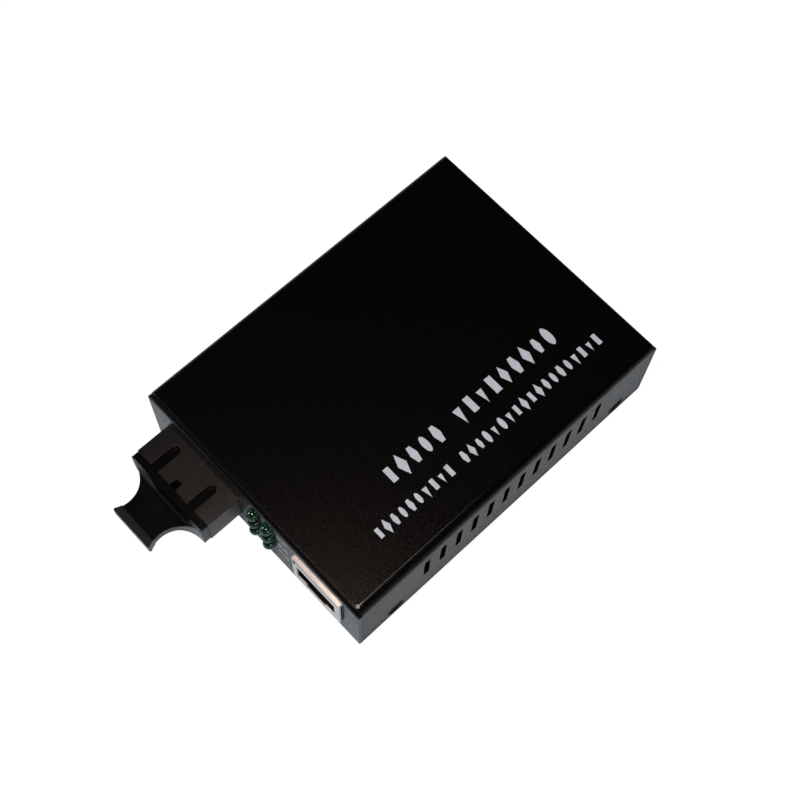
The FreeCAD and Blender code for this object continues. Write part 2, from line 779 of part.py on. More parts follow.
def make_optic_housing():
    """The moulded receptacle: two keyed ports side by side, and a bore behind each."""
    body = new_body("optic_housing")
    block = sketch_on(body, "XZ_Plane", at=f"-{OPTIC_BACK}")
    rectangle(block, f"{OPTIC_MIDDLE} - optic_width/2", f"{OPTIC_MIDDLE} + optic_width/2", OPTIC_FOOT,
              OPTIC_TOP)
    pad(body, block, "optic_body")
    round_edges(body, lambda edge, middle, way: along("y")(way), "optic_edge")

    ports = sketch_on(body, "XZ_Plane", at=f"-{OPTIC_FACE}")
    for side in (-1, 1):
        rectangle(ports, f"{port_x(side)} - port_width/2", f"{port_x(side)} + port_width/2",
                  f"{OPTIC_AXIS} - port_height/2", f"{OPTIC_AXIS} + port_height/2")
    pocket(body, ports, "port_depth")
    bores = sketch_on(body, "XZ_Plane", at=f"-{OPTIC_BACK}")
    for side in (-1, 1):
        circle(bores, port_x(side), OPTIC_AXIS, "collar_bore")
    pocket(body, bores, "optic_body - port_depth + 0.1", backwards=True)

    # keyways through the top wall, open at the front and round at the inner end
    for side in (-1, 1):
        keyway = sketch_on(body, "XY_Plane", at=OPTIC_TOP)
        slot(keyway, port_x(side), f"{OPTIC_FACE} - key_width", f"{OPTIC_FACE} + key_length", "key_width")
        pocket(body, keyway, "(optic_height - port_height)/2 + 0.1")
    notch = sketch_on(body, "XY_Plane", at=OPTIC_TOP)
    rectangle(notch, f"{OPTIC_MIDDLE} - notch_width/2", f"{OPTIC_MIDDLE} + notch_width/2",
              f"{OPTIC_FACE} - 1", f"{OPTIC_FACE} + notch_length")
    pocket(body, notch, "notch_depth")
    rib = sketch_on(body, "XY_Plane", at=OPTIC_TOP)
    rectangle(rib, f"{OPTIC_MIDDLE} - rib_width/2", f"{OPTIC_MIDDLE} + rib_width/2",
              f"{OPTIC_FACE} + notch_length", FRONT)
    pad(body, rib, "rib_height")
    posts = sketch_on(body, "XY_Plane", at=OPTIC_FOOT)
    for x, y in OPTIC_POSTS:
        square(posts, x, y, "post_side")
    pad(body, posts, f"{OPTIC_FOOT} - {PIN_FOOT}", backwards=True)
    return body


def make_latch_inserts():
    """A latch insert in each port: a base plate round the sleeve, with two hooked arms."""
    master = new_body("latch_insert")
    plate = sketch_on(master, "XZ_Plane")
    rectangle(plate, "-(port_width/2 - 0.05)", "port_width/2 - 0.05",
              "-(port_height/2 - 0.05)", "port_height/2 - 0.05")
    circle(plate, "0", "0", "sleeve_dia + 2*hole_slack")
    pad(master, plate, "insert_plate")
    for side in (-1, 1):
        arm = sketch_on(master, "XY_Plane")
        outer, inner = "(port_width/2 - 0.1)", "(port_width/2 - 0.1 - arm_thick)"
        tip = "-(insert_plate + arm_length)"
        polygon(arm, [(f"{side}*{outer}", "-insert_plate/2"), (f"{side}*{outer}", tip),
                      (f"{side}*({inner} - arm_hook)", f"{tip} + 0.8"),
                      (f"{side}*({inner} - arm_hook)", f"{tip} + 1.2"),
                      (f"{side}*{inner}", f"{tip} + 1.4"), (f"{side}*{inner}", "-insert_plate/2")])
        pad(master, arm, "arm_height", symmetric=True)
    return copies("latch_inserts", master, [(port_x(side), PORT_BACK, OPTIC_AXIS, 0) for side in (-1, 1)])


def make_barrel(name, side, can):
    """A turned optical sub-assembly: ferrule sleeve, and can through the housing's bore."""
    body = new_body(name)
    profile = sketch_on(body, "XY_Plane", at=OPTIC_AXIS, across=port_x(side), up=PORT_BACK)
    back = f"(optic_body - port_depth + {can})"
    polygon(profile, [("ferrule_bore/2", "-sleeve_reach"), ("sleeve_dia/2", "-sleeve_reach"),
                      ("sleeve_dia/2", "0"), ("collar_bore/2 - thread_gap", "0"),
                      ("collar_bore/2 - thread_gap", back), ("0", back), ("0", "0.5"),
                      ("ferrule_bore/2", "0.5")])
    turn(body, profile, "V_Axis")
    return body


def make_optic_cap():
    """The cap over the back of the transceiver, open to the housing and to the board."""
    body = new_body("optic_cap")
    block = sketch_on(body, "XZ_Plane", at=f"-({OPTIC_BACK} + cap_length)")
    rectangle(block, f"{OPTIC_MIDDLE} - optic_width/2", f"{OPTIC_MIDDLE} + optic_width/2", OPTIC_FOOT,
              OPTIC_TOP)
    pad(body, block, "cap_length")
    shell(body, lambda middle, normal: normal.y < -0.9 or normal.z < -0.9, "cap_wall")
    top = amount(OPTIC_TOP)
    round_edges(body, lambda edge, middle, way: along("y")(way) and near(middle.z, top), "optic_edge")
    return body


def make_optic_board():
    """The transceiver's own small board, under the two cans."""
    plate = box(f"{OPTIC_MIDDLE} - optic_board_width/2",
                f"{OPTIC_BACK} + cap_length - cap_wall - 0.1 - optic_board_length", OPTIC_BOARD_UNDER,
                "optic_board_width", "optic_board_length", "optic_board_thick", "optic_board")
    plate.Label = "optic_board"
    return plate


def make_optic_pins():
    """The row of nine pins from the transceiver's board down through the main board."""
    pins = [box(f"{x} - optic_pin_side/2", f"{y} - optic_pin_side/2", PIN_FOOT,
                "optic_pin_side", "optic_pin_side", f"{OPTIC_BOARD_UNDER} - {PIN_FOOT}", "optic_pin")
            for x, y in OPTIC_PINS]
    return group("optic_pins", pins)


def make_dust_plug():
    """The moulded dust plug: a flange and grip outside, a hollow keyed shank in each port."""
    body = new_body("dust_plug")
    flange = sketch_on(body, "XZ_Plane", at=f"-{PLUG_BACK}")
    rectangle(flange, f"{OPTIC_MIDDLE} - plug_width/2", f"{OPTIC_MIDDLE} + plug_width/2",
              f"{OPTIC_AXIS} - plug_height/2", f"{OPTIC_AXIS} + plug_height/2")
    pad(body, flange, "plug_flange")

    round_edges(body, lambda edge, middle, way: along("y")(way), "plug_corner")

    # grip, seen from the side: a full block, hollowed to a thin waist with a thicker bar at its end
    grip = f"({PLUG_FACE} - {PLUG_END})"
    block = sketch_on(body, "XZ_Plane", at=f"-{PLUG_FACE}")
    rectangle(block, f"{OPTIC_MIDDLE} - plug_width/2", f"{OPTIC_MIDDLE} + plug_width/2",
              f"{OPTIC_AXIS} - plug_height/2 + sheet/10", f"{OPTIC_AXIS} + plug_height/2 - sheet/10")
    pad(body, block, grip)
    hollows = sketch_on(body, "YZ_Plane", at=OPTIC_MIDDLE, across=PLUG_FACE, up=OPTIC_AXIS)
    for side in (-1, 1):
        circle(hollows, "-root_length", f"{side}*(waist_thick/2 + root_length)", "2*root_length")
    pocket(body, hollows, "2*plug_width", symmetric=True)
    for near_end, far_end, half in (("root_length", f"({grip} - bar_depth)", "waist_thick/2"),
                                    (f"({grip} - bar_depth)", f"({grip} + 1)", "bar_thick/2")):
        for side in (-1, 1):
            faces = sketch_on(body, "YZ_Plane", at=OPTIC_MIDDLE, across=PLUG_FACE, up=OPTIC_AXIS)
            low, high = sorted((f"{side}*{half}", f"{side}*plug_height"), key=amount)
            rectangle(faces, f"-{far_end}", f"-{near_end}", low, high)
            pocket(body, faces, "2*plug_width", symmetric=True)

    # plan outline of the grip: a large concave arc each side, and the bar's square ends
    for side in (-1, 1):
        arc = sketch_on(body, "XY_Plane", at="case_height", across=OPTIC_MIDDLE, up=PLUG_FACE)
        circle(arc, f"{side}*plug_width/2", "-(grip_radius + grip_ledge)", "2*grip_radius")
        pocket(body, arc)
        end = sketch_on(body, "XY_Plane", at="case_height", across=OPTIC_MIDDLE, up=PLUG_FACE)
        left, right = sorted((f"{side}*bar_width/2", f"{side}*plug_width"), key=amount)
        rectangle(end, left, right, f"-({grip} + 1)", "-(grip_radius + grip_ledge)")
        pocket(body, end)
    end_y = amount(PLUG_END)
    round_edges(body, lambda edge, middle, way: near(middle.y, end_y), "bar_edge")

    # shanks: full size at the mouth, slimmer between the latch arms, bored over the sleeve
    for side in (-1, 1):
        x = port_x(side)
        head = sketch_on(body, "XZ_Plane", at=f"-{PLUG_BACK}", across=x, up=OPTIC_AXIS)
        half_width, half_height = "(port_width/2 - shank_gap)", "(port_height/2 - shank_gap)"
        rectangle(head, f"-{half_width}", half_width, f"-{half_height}", half_height)
        pad(body, head, "shank_head + plug_gap", backwards=True)
        tip = sketch_on(body, "XZ_Plane", at=f"-{PLUG_BACK}", across=x, up=OPTIC_AXIS)
        rectangle(tip, "-shank_tip/2", "shank_tip/2", f"-({half_height} - 0.3)", f"{half_height} - 0.3")
        pad(body, tip, "shank_reach + plug_gap", backwards=True)
        key = sketch_on(body, "XZ_Plane", at=f"-{PLUG_BACK}", across=x, up=OPTIC_AXIS)
        rectangle(key, "-(key_width/2 - shank_gap)", "key_width/2 - shank_gap", "0",
                  "optic_height/2 - key_sink")
        pad(body, key, "shank_head + plug_gap", backwards=True)
        hollow = sketch_on(body, "XZ_Plane", at=f"-({PLUG_BACK} + plug_gap + shank_reach)",
                           across=x, up=OPTIC_AXIS)
        circle(hollow, "0", "0", "shank_bore")
        pocket(body, hollow, "shank_reach - 1", backwards=True)
    return body


# ---------------------------------------------------------------------------------------------
# Status lamps
# ---------------------------------------------------------------------------------------------

def make_lamp(name, column, level):
    """A 3 mm lamp: a dome and round body that reach through the panel from the holder."""
    x, z = f"lamp_place + {column}*lamp_pitch", lamp_height(level)
    dome_middle = f"({FRONT} - lamp_reach + lamp_dia/2)"
    dome = doc.addObject("Part::Sphere", name + "_dome")
    bind(dome, "Radius", "lamp_dia/2")
    place(dome, x, dome_middle, z)
    stem = bar_along_y(x, dome_middle, z, "lamp_dia", "lamp_body", name + "_body")
    return fuse(name, [dome, stem])


def make_lamps():
    names = [("lower", 0), ("middle", 1), ("upper", 2)]
    return [make_lamp(f"lamp_{word}_{side}", column, level)
            for word, level in names for column, side in enumerate(("left", "right"))]


def make_lamp_holder():
    """The moulded stack that backs six lamps square to the panel and guides their leads."""
    body = new_body("lamp_holder")
    block = sketch_on(body, "XZ_Plane", at=f"-({LAMP_BACK} + holder_depth)")
    rectangle(block, "lamp_place - holder_margin", "lamp_place + lamp_pitch + holder_margin",
              "board_top", f"{lamp_height(2)} + holder_margin")
    pad(body, block, "holder_depth")
    holes = sketch_on(body, "XZ_Plane", at=f"-{LAMP_BACK}")
    for _, level, _, x, _ in LEADS:
        square(holes, x, lamp_height(level), "lead_side + 2*hole_slack")
    pocket(body, holes)
    return body


def make_lamp_leads():
    """Twelve square leads: straight back through the holder, then down through the board."""
    leads = []
    for column, level, leg, x, y in LEADS:
        z = lamp_height(level)
        run = box(f"{x} - lead_side/2", LAMP_BACK, f"{z} - lead_side/2",
                  "lead_side", f"{y} + lead_side/2 - {LAMP_BACK}", "lead_side", "lead_run")
        drop = box(f"{x} - lead_side/2", f"{y} - lead_side/2", PIN_FOOT,
                   "lead_side", "lead_side", f"{z} + lead_side/2 - {PIN_FOOT}", "lead_drop")
        leads.append(fuse("lead", [run, drop]))
    return group("lamp_leads", leads)


# ---------------------------------------------------------------------------------------------
# Copper socket
# ---------------------------------------------------------------------------------------------

SOCKET_LOW = "(board_top + socket_foot)"
SOCKET_HIGH = "(board_top + socket_foot + socket_height)"
JACK_SIDE = "(jack_width/2 - shield_sheet - shield_gap)"


def make_jack_housing():
    """The socket's moulded body: plug cavity, latch notch, contact channels and two pegs."""
    body = new_body("jack_housing")
    face, back = f"({JACK_FACE} + shield_sheet + shield_gap)", f"({JACK_BACK} - shield_sheet - shield_gap)"
    block = sketch_on(body, "XZ_Plane", at=f"-{back}", across=JACK_MIDDLE)
    rectangle(block, f"-{JACK_SIDE}", JACK_SIDE, "board_top",
              f"{JACK_TOP} - shield_sheet - shield_gap")
    pad(body, block, f"{back} - {face}")
    cavity = sketch_on(body, "XZ_Plane", at=f"-{face}", across=JACK_MIDDLE)
    rectangle(cavity, "-socket_width/2", "socket_width/2", SOCKET_LOW, SOCKET_HIGH)
    pocket(body, cavity, "socket_depth")
    latch = sketch_on(body, "XZ_Plane", at=f"-{face}", across=JACK_MIDDLE)
    rectangle(latch, "-latch_width/2", "latch_width/2", f"{SOCKET_LOW} - latch_drop", SOCKET_LOW)
    pocket(body, latch, "socket_depth - 2")
    # channel over the cavity and down the back for the contacts
    over = sketch_on(body, "XZ_Plane", at=f"-({face} + 1)", across=JACK_MIDDLE)
    rectangle(over, "-4*contact_pitch", "4*contact_pitch", SOCKET_HIGH, f"{SOCKET_HIGH} + contact_channel")
    pocket(body, over)
    behind = sketch_on(body, "XZ_Plane", at=f"-({back} - 3.2)", across=JACK_MIDDLE)
    rectangle(behind, "-4*contact_pitch - 0.3", "4*contact_pitch + 0.3", "board_top - 1",
              f"{SOCKET_HIGH} + contact_channel")
    pocket(body, behind)
    pegs = sketch_on(body, "XY_Plane", at="board_top")
    for x, y in JACK_POSTS:
        square(pegs, x, y, "jack_post_side")
    pad(body, pegs, f"board_top - {PIN_FOOT}", backwards=True)
    return body


def make_jack_shield():
    """The socket's folded metal shield, with the plug opening in its face and two tabs below."""
    body = new_body("jack_shield")
    block = sketch_on(body, "XZ_Plane", at=f"-{JACK_BACK}", across=JACK_MIDDLE)
    rectangle(block, "-jack_width/2", "jack_width/2", "board_top", JACK_TOP)
    pad(body, block, "jack_depth")
    top, side = amount(JACK_TOP), amount("jack_width/2")
    middle_x = amount(JACK_MIDDLE)
    round_edges(body, lambda edge, middle, way: (along("y")(way) and near(middle.z, top))
                or (along("z")(way) and near(abs(middle.x - middle_x), side)), "jack_bend")
    shell(body, lambda middle, normal: normal.z < -0.9, "shield_sheet")
    mouth = sketch_on(body, "XZ_Plane", at=f"-{JACK_FACE} + 1", across=JACK_MIDDLE)
    half, latch_half = "(socket_width/2 + socket_lip)", "(latch_width/2 + socket_lip)"
    low, high = f"({SOCKET_LOW} - socket_lip)", f"({SOCKET_HIGH} + socket_lip)"
    latch_low = f"({SOCKET_LOW} - latch_drop - socket_lip)"
    polygon(mouth, [(f"-{latch_half}", latch_low), (latch_half, latch_low), (latch_half, low),
                    (half, low), (half, high), (f"-{half}", high), (f"-{half}", low),
                    (f"-{latch_half}", low)])
    pocket(body, mouth, "2 + shield_sheet")
    for x, y in SHIELD_TABS:
        tab = sketch_on(body, "XY_Plane", at="board_top", across=x, up=y)
        rectangle(tab, "-shield_sheet/2", "shield_sheet/2", "-shield_tab/2", "shield_tab/2")
        pad(body, tab, f"board_top - {PIN_FOOT}", backwards=True)
    return body


def make_jack_contacts():
    """Eight gold contacts: tail in the board, run over the cavity, finger leaning into it."""
    contacts = []
    turn_y = f"({JACK_FACE} + shield_sheet + shield_gap + 1.4)"
    level = f"({SOCKET_HIGH} + contact_channel/2 - contact_thick/2)"
    for x, y in CONTACTS:
        low_x = f"{x} - contact_width/2"
        tail = box(low_x, f"{y} - contact_thick/2", PIN_FOOT, "contact_width", "contact_thick",
                   f"{level} + contact_thick - {PIN_FOOT}", "contact_tail")
        run = box(low_x, turn_y, level, "contact_width", f"{y} + contact_thick/2 - {turn_y}",
                  "contact_thick", "contact_run")
        finger = box(low_x, turn_y, level, "contact_width", "contact_finger", "contact_thick",
                     "contact_finger")
        finger.Placement = Placement(Vector(), Rotation(Vector(1, 0, 0), -SIZES["contact_lean"]))
        place(finger, low_x, turn_y, level)
        contacts.append(fuse("contact", [tail, run, finger]))
    return group("jack_contacts", contacts)


# ---------------------------------------------------------------------------------------------
# Power inlet
# ---------------------------------------------------------------------------------------------

def make_inlet_body():
    """The power inlet's moulded body, with a round nose in the rear panel's hole."""
    body = new_body("inlet_body")
    block = sketch_on(body, "XZ_Plane", at=f"-{INLET_FACE}", across=INLET_MIDDLE)
    rectangle(block, "-inlet_width/2", "inlet_width/2", "board_top", "board_top + inlet_height")
    pad(body, block, "inlet_depth")
    nose = sketch_on(body, "XZ_Plane", at=f"-{REAR}", across=INLET_MIDDLE, up=INLET_AXIS)
    circle(nose, "0", "0", "inlet_nose")
    pad(body, nose, "2*sheet")
    bore = sketch_on(body, "XZ_Plane", at=f"-{REAR}", across=INLET_MIDDLE, up=INLET_AXIS)
    circle(bore, "0", "0", "inlet_bore")
    pocket(body, bore, "inlet_bore_depth", backwards=True)
    seat = sketch_on(body, "XZ_Plane", at=f"-{REAR}", across=INLET_MIDDLE, up=INLET_AXIS)
    circle(seat, "0", "0", "inlet_pin + 2*thread_gap")
    pocket(body, seat, backwards=True)
    leaf = sketch_on(body, "XY_Plane", at="board_top", across=INLET_MIDDLE)
    rectangle(leaf, "-inlet_leaf_width/2", "inlet_leaf_width/2",
              f"{INLET_FACE} - inlet_depth/2 - tag_side", f"{REAR} - 3")
    pocket(body, leaf, "inlet_rise - inlet_bore/2 + 0.5", backwards=True)
    for (x, y), depth in ((INLET_TAGS[0], "inlet_rise"), (INLET_TAGS[2], "2.5")):
        tag = sketch_on(body, "XY_Plane", at="board_top", across=x, up=y)
        rectangle(tag, "-(tag_side/2 + hole_slack)", "tag_side/2 + hole_slack",
                  "-(tag_side/2 + hole_slack)", "tag_side/2 + hole_slack")
        pocket(body, tag, depth, backwards=True)
    return body


def make_tag(x, y, top, name):
    return box(f"{x} - tag_side/2", f"{y} - tag_side/2", PIN_FOOT, "tag_side", "tag_side",
               f"{top} - {PIN_FOOT}", name)


def make_inlet_pin():
    """The inlet's centre pin, with the tag that takes it down through the board."""
    x, y = INLET_TAGS[0]
    rod = bar_along_y(x, f"{y} - tag_side/2", INLET_AXIS, "inlet_pin",
                      f"{REAR} - inlet_bore_depth + inlet_pin_reach - {y} + tag_side/2", "inlet_rod")
    return fuse("inlet_pin", [rod, make_tag(x, y, INLET_AXIS, "inlet_pin_tag")])


def make_inlet_contacts():
    """The inlet's spring leaf under the bore and its switch contact, each with a tag."""
    x, y = INLET_TAGS[1]
    level = f"({INLET_AXIS} - inlet_bore/2 - inlet_leaf)"
    strip = box(f"{x} - inlet_leaf_width/2 + hole_slack", f"{y} - tag_side/2", level,
                "inlet_leaf_width - 2*hole_slack", f"{REAR} - 3.2 - {y} + tag_side/2", "inlet_leaf",
                "inlet_leaf_strip")
    leaf = fuse("inlet_leaf_contact", [strip, make_tag(x, y, f"({level} + inlet_leaf)", "inlet_leaf_tag")])
    x, y = INLET_TAGS[2]
    return group("inlet_contacts", [leaf, make_tag(x, y, "(board_top + 2.3)", "inlet_switch_tag")])


# ---------------------------------------------------------------------------------------------
# Parts on the board
# ---------------------------------------------------------------------------------------------

def make_converter_chip():
    """The converter's main chip, a flat leadless package that is soldered by its underside."""
    chip = box("chip_across - chip_side/2", "chip_along - chip_side/2", "board_top", "chip_side",
               "chip_side", "chip_height", "converter_chip")
    chip.Label = "converter_chip"
    return chip


def leaded_block(name, x, y, width, length, height, count, pitch):
    """A moulded block lifted off the board by a row of flat leads down each side."""
    pieces = [box(f"{x} - {width}/2", f"{y} - {length}/2", "board_top + lead_side/2",
                  width, length, height, name + "_block")]
    for i in range(count):
        run = f"({i} - ({count} - 1)/2)*{pitch}"
        for edge in (f"{x} - {width}/2 - chip_lead_reach", f"{x} + {width}/2 - chip_lead_reach"):
            pieces.append(box(edge, f"{y} + {run} - lead_side/2", "board_top",
                              "2*chip_lead_reach", "lead_side", "lead_side", "lead_foot"))
    return fuse(name, pieces)


def make_can_capacitor(name, x, y):
    """A round can capacitor with its two legs through the board."""
    can = upright(x, y, "board_top", "can_cap_dia", "can_cap_height", name + "_can")
    legs = [box(f"{x} + {side}*can_cap_pitch/2 - lead_side/2", f"{y} - lead_side/2", PIN_FOOT,
                "lead_side", "lead_side", f"board_top + 1 - {PIN_FOOT}", name + "_leg")
            for side in (-1, 1)]
    return fuse(name, [can] + legs)


def make_crystal():
    """The crystal's oblong metal can on its flange, with two legs through the board."""
    x, y = "crystal_across", "crystal_along"
    straight = "(crystal_length - crystal_width)"
    pieces = [box(f"{x} - {straight}/2", f"{y} - crystal_width/2", "board_top", straight,
                  "crystal_width", "crystal_height", "crystal_middle"),
              upright(f"{x} - {straight}/2", y, "board_top", "crystal_width", "crystal_height",
                      "crystal_end"),
              upright(f"{x} + {straight}/2", y, "board_top", "crystal_width", "crystal_height",
                      "crystal_end")]
    for leg_x, leg_y in CRYSTAL_LEGS:
        pieces.append(box(f"{leg_x} - lead_side/2", f"{leg_y} - lead_side/2", PIN_FOOT, "lead_side",
                          "lead_side", f"board_top + 1 - {PIN_FOOT}", "crystal_leg"))
    return fuse("crystal", pieces)


def make_coil():
    """The power coil: a square ferrite with a round wound middle under its top plate."""
    along_board = f"({REAR} - coil_set)"
    plates = [box(f"{COIL_MIDDLE} - coil_side/2", f"{along_board} - coil_side/2", z, "coil_side",
                  "coil_side", "coil_height/4", "coil_plate")
              for z in ("board_top", "board_top + coil_height*3/4")]
    middle = upright(COIL_MIDDLE, along_board, "board_top", "coil_side*0.86", "coil_height",
                     "coil_winding")
    return fuse("power_coil", plates + [middle])


def make_small_row(name, x, y, count, height):
    """A row of small parts of one kind, soldered flat on the board."""
    return group(name, [box(f"{x} + {i}*small_pitch", y, "board_top", "small_part", "small_part/2",
                            height, "small_block") for i in range(count)])


# ---------------------------------------------------------------------------------------------
# The object: every node, checked and written
# ---------------------------------------------------------------------------------------------

nodes = [
    make_cover(),
    make_chassis(),
    make_cover_screws(),
    make_board(),
    make_pillars(),
    make_board_screws(),
    make_optic_housing(),
    make_latch_inserts(),
    make_barrel("optic_sender", 1, "sender_can"),
    make_barrel("optic_receiver", -1, "receiver_can"),
    make_optic_cap(),
    make_optic_board(),
    make_optic_pins(),
    make_dust_plug(),
    *make_lamps(),
    make_lamp_holder(),
    make_lamp_leads(),
    make_jack_housing(),
    make_jack_shield(),
    make_jack_contacts(),
    make_inlet_body(),
    make_inlet_pin(),
    make_inlet_contacts(),
    make_converter_chip(),
    leaded_block("line_transformer", "(case_width/2 - core_inset)", f"({FRONT} + core_set)",
                 "core_width", "core_length", "core_height", SIZES["core_lead_count"],
                 "core_lead_pitch"),
    leaded_block("memory_chip", "memory_across", "memory_along", "memory_width", "memory_length",
                 "chip_height", 4, "memory_pitch"),
    leaded_block("regulator", "regulator_across", f"({REAR} - regulator_set)", "memory_width",
                 "memory_length", "chip_height", 4, "memory_pitch"),
    *[make_can_capacitor(name, x, y) for name, x, y in CAN_CAPS],
    make_crystal(),
    make_coil(),
    make_small_row("board_fuse", COIL_MIDDLE, f"({REAR} - fuse_set)", 1, "small_part/2"),
    make_small_row("chip_resistors", "chip_across - 4*small_pitch", "small_row_along", 8,
                   "small_part/3"),
    make_small_row("chip_capacitors", "chip_across - 4*small_pitch", "small_row_along + small_pitch",
                   6, "small_part/2"),
]
doc.recompute()

for thing in doc.Objects:
    if "Invalid" in thing.State or "Error" in thing.State:
        raise RuntimeError(f"{thing.Label} did not build: {thing.State}")
labels = [node.Label for node in nodes]
if len(set(labels)) != len(labels):
    raise RuntimeError("two nodes share a name")
os.makedirs("parts", exist_ok=True)
for node in nodes:
    if node.Shape.isNull() or not node.Shape.isValid() or not node.Shape.Solids:
        raise RuntimeError(f"{node.Label} is not a sound solid")
    node.Shape.exportStep(f"parts/{node.Label}.step")
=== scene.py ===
import math
import bmesh
import bpy
from mathutils import Matrix, Vector


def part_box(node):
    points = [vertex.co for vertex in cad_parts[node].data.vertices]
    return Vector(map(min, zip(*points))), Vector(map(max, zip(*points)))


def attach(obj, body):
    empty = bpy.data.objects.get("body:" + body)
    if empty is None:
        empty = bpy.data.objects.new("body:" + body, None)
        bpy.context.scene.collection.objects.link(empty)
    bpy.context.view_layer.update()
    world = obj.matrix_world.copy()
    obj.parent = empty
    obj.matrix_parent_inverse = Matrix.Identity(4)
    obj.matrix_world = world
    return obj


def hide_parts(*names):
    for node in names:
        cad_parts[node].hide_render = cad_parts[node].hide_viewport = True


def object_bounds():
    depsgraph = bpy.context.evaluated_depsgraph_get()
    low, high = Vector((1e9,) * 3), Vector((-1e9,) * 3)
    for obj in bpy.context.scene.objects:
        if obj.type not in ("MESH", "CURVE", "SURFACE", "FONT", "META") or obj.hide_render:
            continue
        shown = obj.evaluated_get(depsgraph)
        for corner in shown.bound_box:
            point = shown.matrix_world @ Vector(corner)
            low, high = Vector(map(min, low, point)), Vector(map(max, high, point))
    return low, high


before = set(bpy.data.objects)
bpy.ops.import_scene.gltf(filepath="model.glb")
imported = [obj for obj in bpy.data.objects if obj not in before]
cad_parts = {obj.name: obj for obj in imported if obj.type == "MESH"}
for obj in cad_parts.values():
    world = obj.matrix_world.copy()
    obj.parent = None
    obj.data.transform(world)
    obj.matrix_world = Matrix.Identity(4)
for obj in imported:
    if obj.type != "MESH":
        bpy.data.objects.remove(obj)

cad_low, cad_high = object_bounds()
MM = 0.001


# ---- Camera -------------------------------------------------------------------------------
# High over the front right corner, with a moderately long lens, looking down at the lid and a
# little of the front and right sides.

eye = Vector((0.08824, -0.09463, 0.32064))
ahead = Vector((-0.2619, 0.2773, -0.9244)).normalized()
rightward = ahead.cross(Vector((-0.679, 0.628, 0.381))).normalized()
upward = rightward.cross(ahead)

camera = bpy.data.objects.new("camera", bpy.data.cameras.new("camera"))
bpy.context.scene.collection.objects.link(camera)
camera.data.lens = 63.49
camera.data.sensor_width = 36.0
camera.data.clip_start = 0.01
camera.matrix_world = Matrix.Translation(eye) @ Matrix((rightward, upward, -ahead)).transposed().to_4x4()
bpy.context.scene.camera = camera
bpy.context.scene.view_settings.view_transform = "Standard"


# ---- Floor, sky and lamps -----------------------------------------------------------------
# A white table that runs out of sight under a dark ceiling, a warm key lamp beside the camera,
# and soft lamps low on three sides.

TABLE_RADIUS = 6.0
TABLE_CLEARANCE = 0.02 * MM
TABLE_COLOUR = (0.72, 0.88, 1.0, 1)
TABLE_GLOW = 1.06
GLOW_SEEN = 0.93
GLOW_MIRRORED = 0.12
HORIZON_COLOUR = (0.62, 0.66, 0.72, 1)
CEILING_COLOUR = (0.012, 0.012, 0.013, 1)
CEILING_FROM = 0.12
WHITE = (1, 1, 1, 1)
WARM = (1.0, 0.80, 0.68)
COOL = (0.84, 0.92, 1.0)


def emptied(owner):
    """The node tree of a material or a sky, cleared for nodes of its own."""
    owner.use_nodes = True
    owner.node_tree.nodes.clear()
    return owner.node_tree


def reckoned(tree, operation, *terms):
    """One sum in a node tree, whose terms are numbers or other nodes' outputs."""
    node = tree.nodes.new("ShaderNodeMath")
    node.operation = operation
    for place, term in enumerate(terms):
        if isinstance(term, bpy.types.NodeSocket):
            tree.links.new(term, node.inputs[place])
        else:
            node.inputs[place].default_value = term
    return node.outputs[0]


table_mesh = bpy.data.meshes.new("table")
shape = bmesh.new()
bmesh.ops.create_circle(shape, cap_ends=True, segments=96, radius=TABLE_RADIUS,
                        matrix=Matrix.Translation((0, 0, cad_low.z - TABLE_CLEARANCE)))
shape.to_mesh(table_mesh)
shape.free()
table = bpy.data.objects.new("table", table_mesh)
bpy.context.scene.collection.objects.link(table)

table_top = bpy.data.materials.new("white table")
tree = emptied(table_top)
output = tree.nodes.new("ShaderNodeOutputMaterial")
lit = tree.nodes.new("ShaderNodeBsdfDiffuse")
lit.inputs["Color"].default_value = TABLE_COLOUR
glow = tree.nodes.new("ShaderNodeEmission")
glow.inputs["Color"].default_value = WHITE
glow.inputs["Strength"].default_value = TABLE_GLOW
halves = tree.nodes.new("ShaderNodeMixShader")
rays = tree.nodes.new("ShaderNodeLightPath")
seen = reckoned(tree, "MULTIPLY", rays.outputs["Is Camera Ray"], GLOW_SEEN)
mirrored = reckoned(tree, "MULTIPLY", rays.outputs["Is Glossy Ray"], GLOW_MIRRORED)
tree.links.new(reckoned(tree, "MAXIMUM", seen, mirrored), halves.inputs["Fac"])
tree.links.new(lit.outputs[0], halves.inputs[1])
tree.links.new(glow.outputs[0], halves.inputs[2])
tree.links.new(halves.outputs[0], output.inputs["Surface"])
table_mesh.materials.append(table_top)

room = bpy.data.worlds.new("room")
bpy.context.scene.world = room
tree = emptied(room)
output = tree.nodes.new("ShaderNodeOutputWorld")
direction = tree.nodes.new("ShaderNodeTexCoord")
parts = tree.nodes.new("ShaderNodeSeparateXYZ")
tree.links.new(direction.outputs["Generated"], parts.inputs[0])
height = tree.nodes.new("ShaderNodeValToRGB")
height.color_ramp.elements[0].position = 0.0
height.color_ramp.elements[0].color = HORIZON_COLOUR
height.color_ramp.elements[1].position = CEILING_FROM
height.color_ramp.elements[1].color = CEILING_COLOUR
tree.links.new(parts.outputs["Z"], height.inputs["Fac"])
dim = tree.nodes.new("ShaderNodeBackground")
tree.links.new(height.outputs["Color"], dim.inputs["Color"])
white = tree.nodes.new("ShaderNodeBackground")
white.inputs["Color"].default_value = WHITE
rays = tree.nodes.new("ShaderNodeLightPath")
either = tree.nodes.new("ShaderNodeMixShader")
tree.links.new(rays.outputs["Is Camera Ray"], either.inputs["Fac"])
tree.links.new(dim.outputs[0], either.inputs[1])
tree.links.new(white.outputs[0], either.inputs[2])
tree.links.new(either.outputs[0], output.inputs["Surface"])

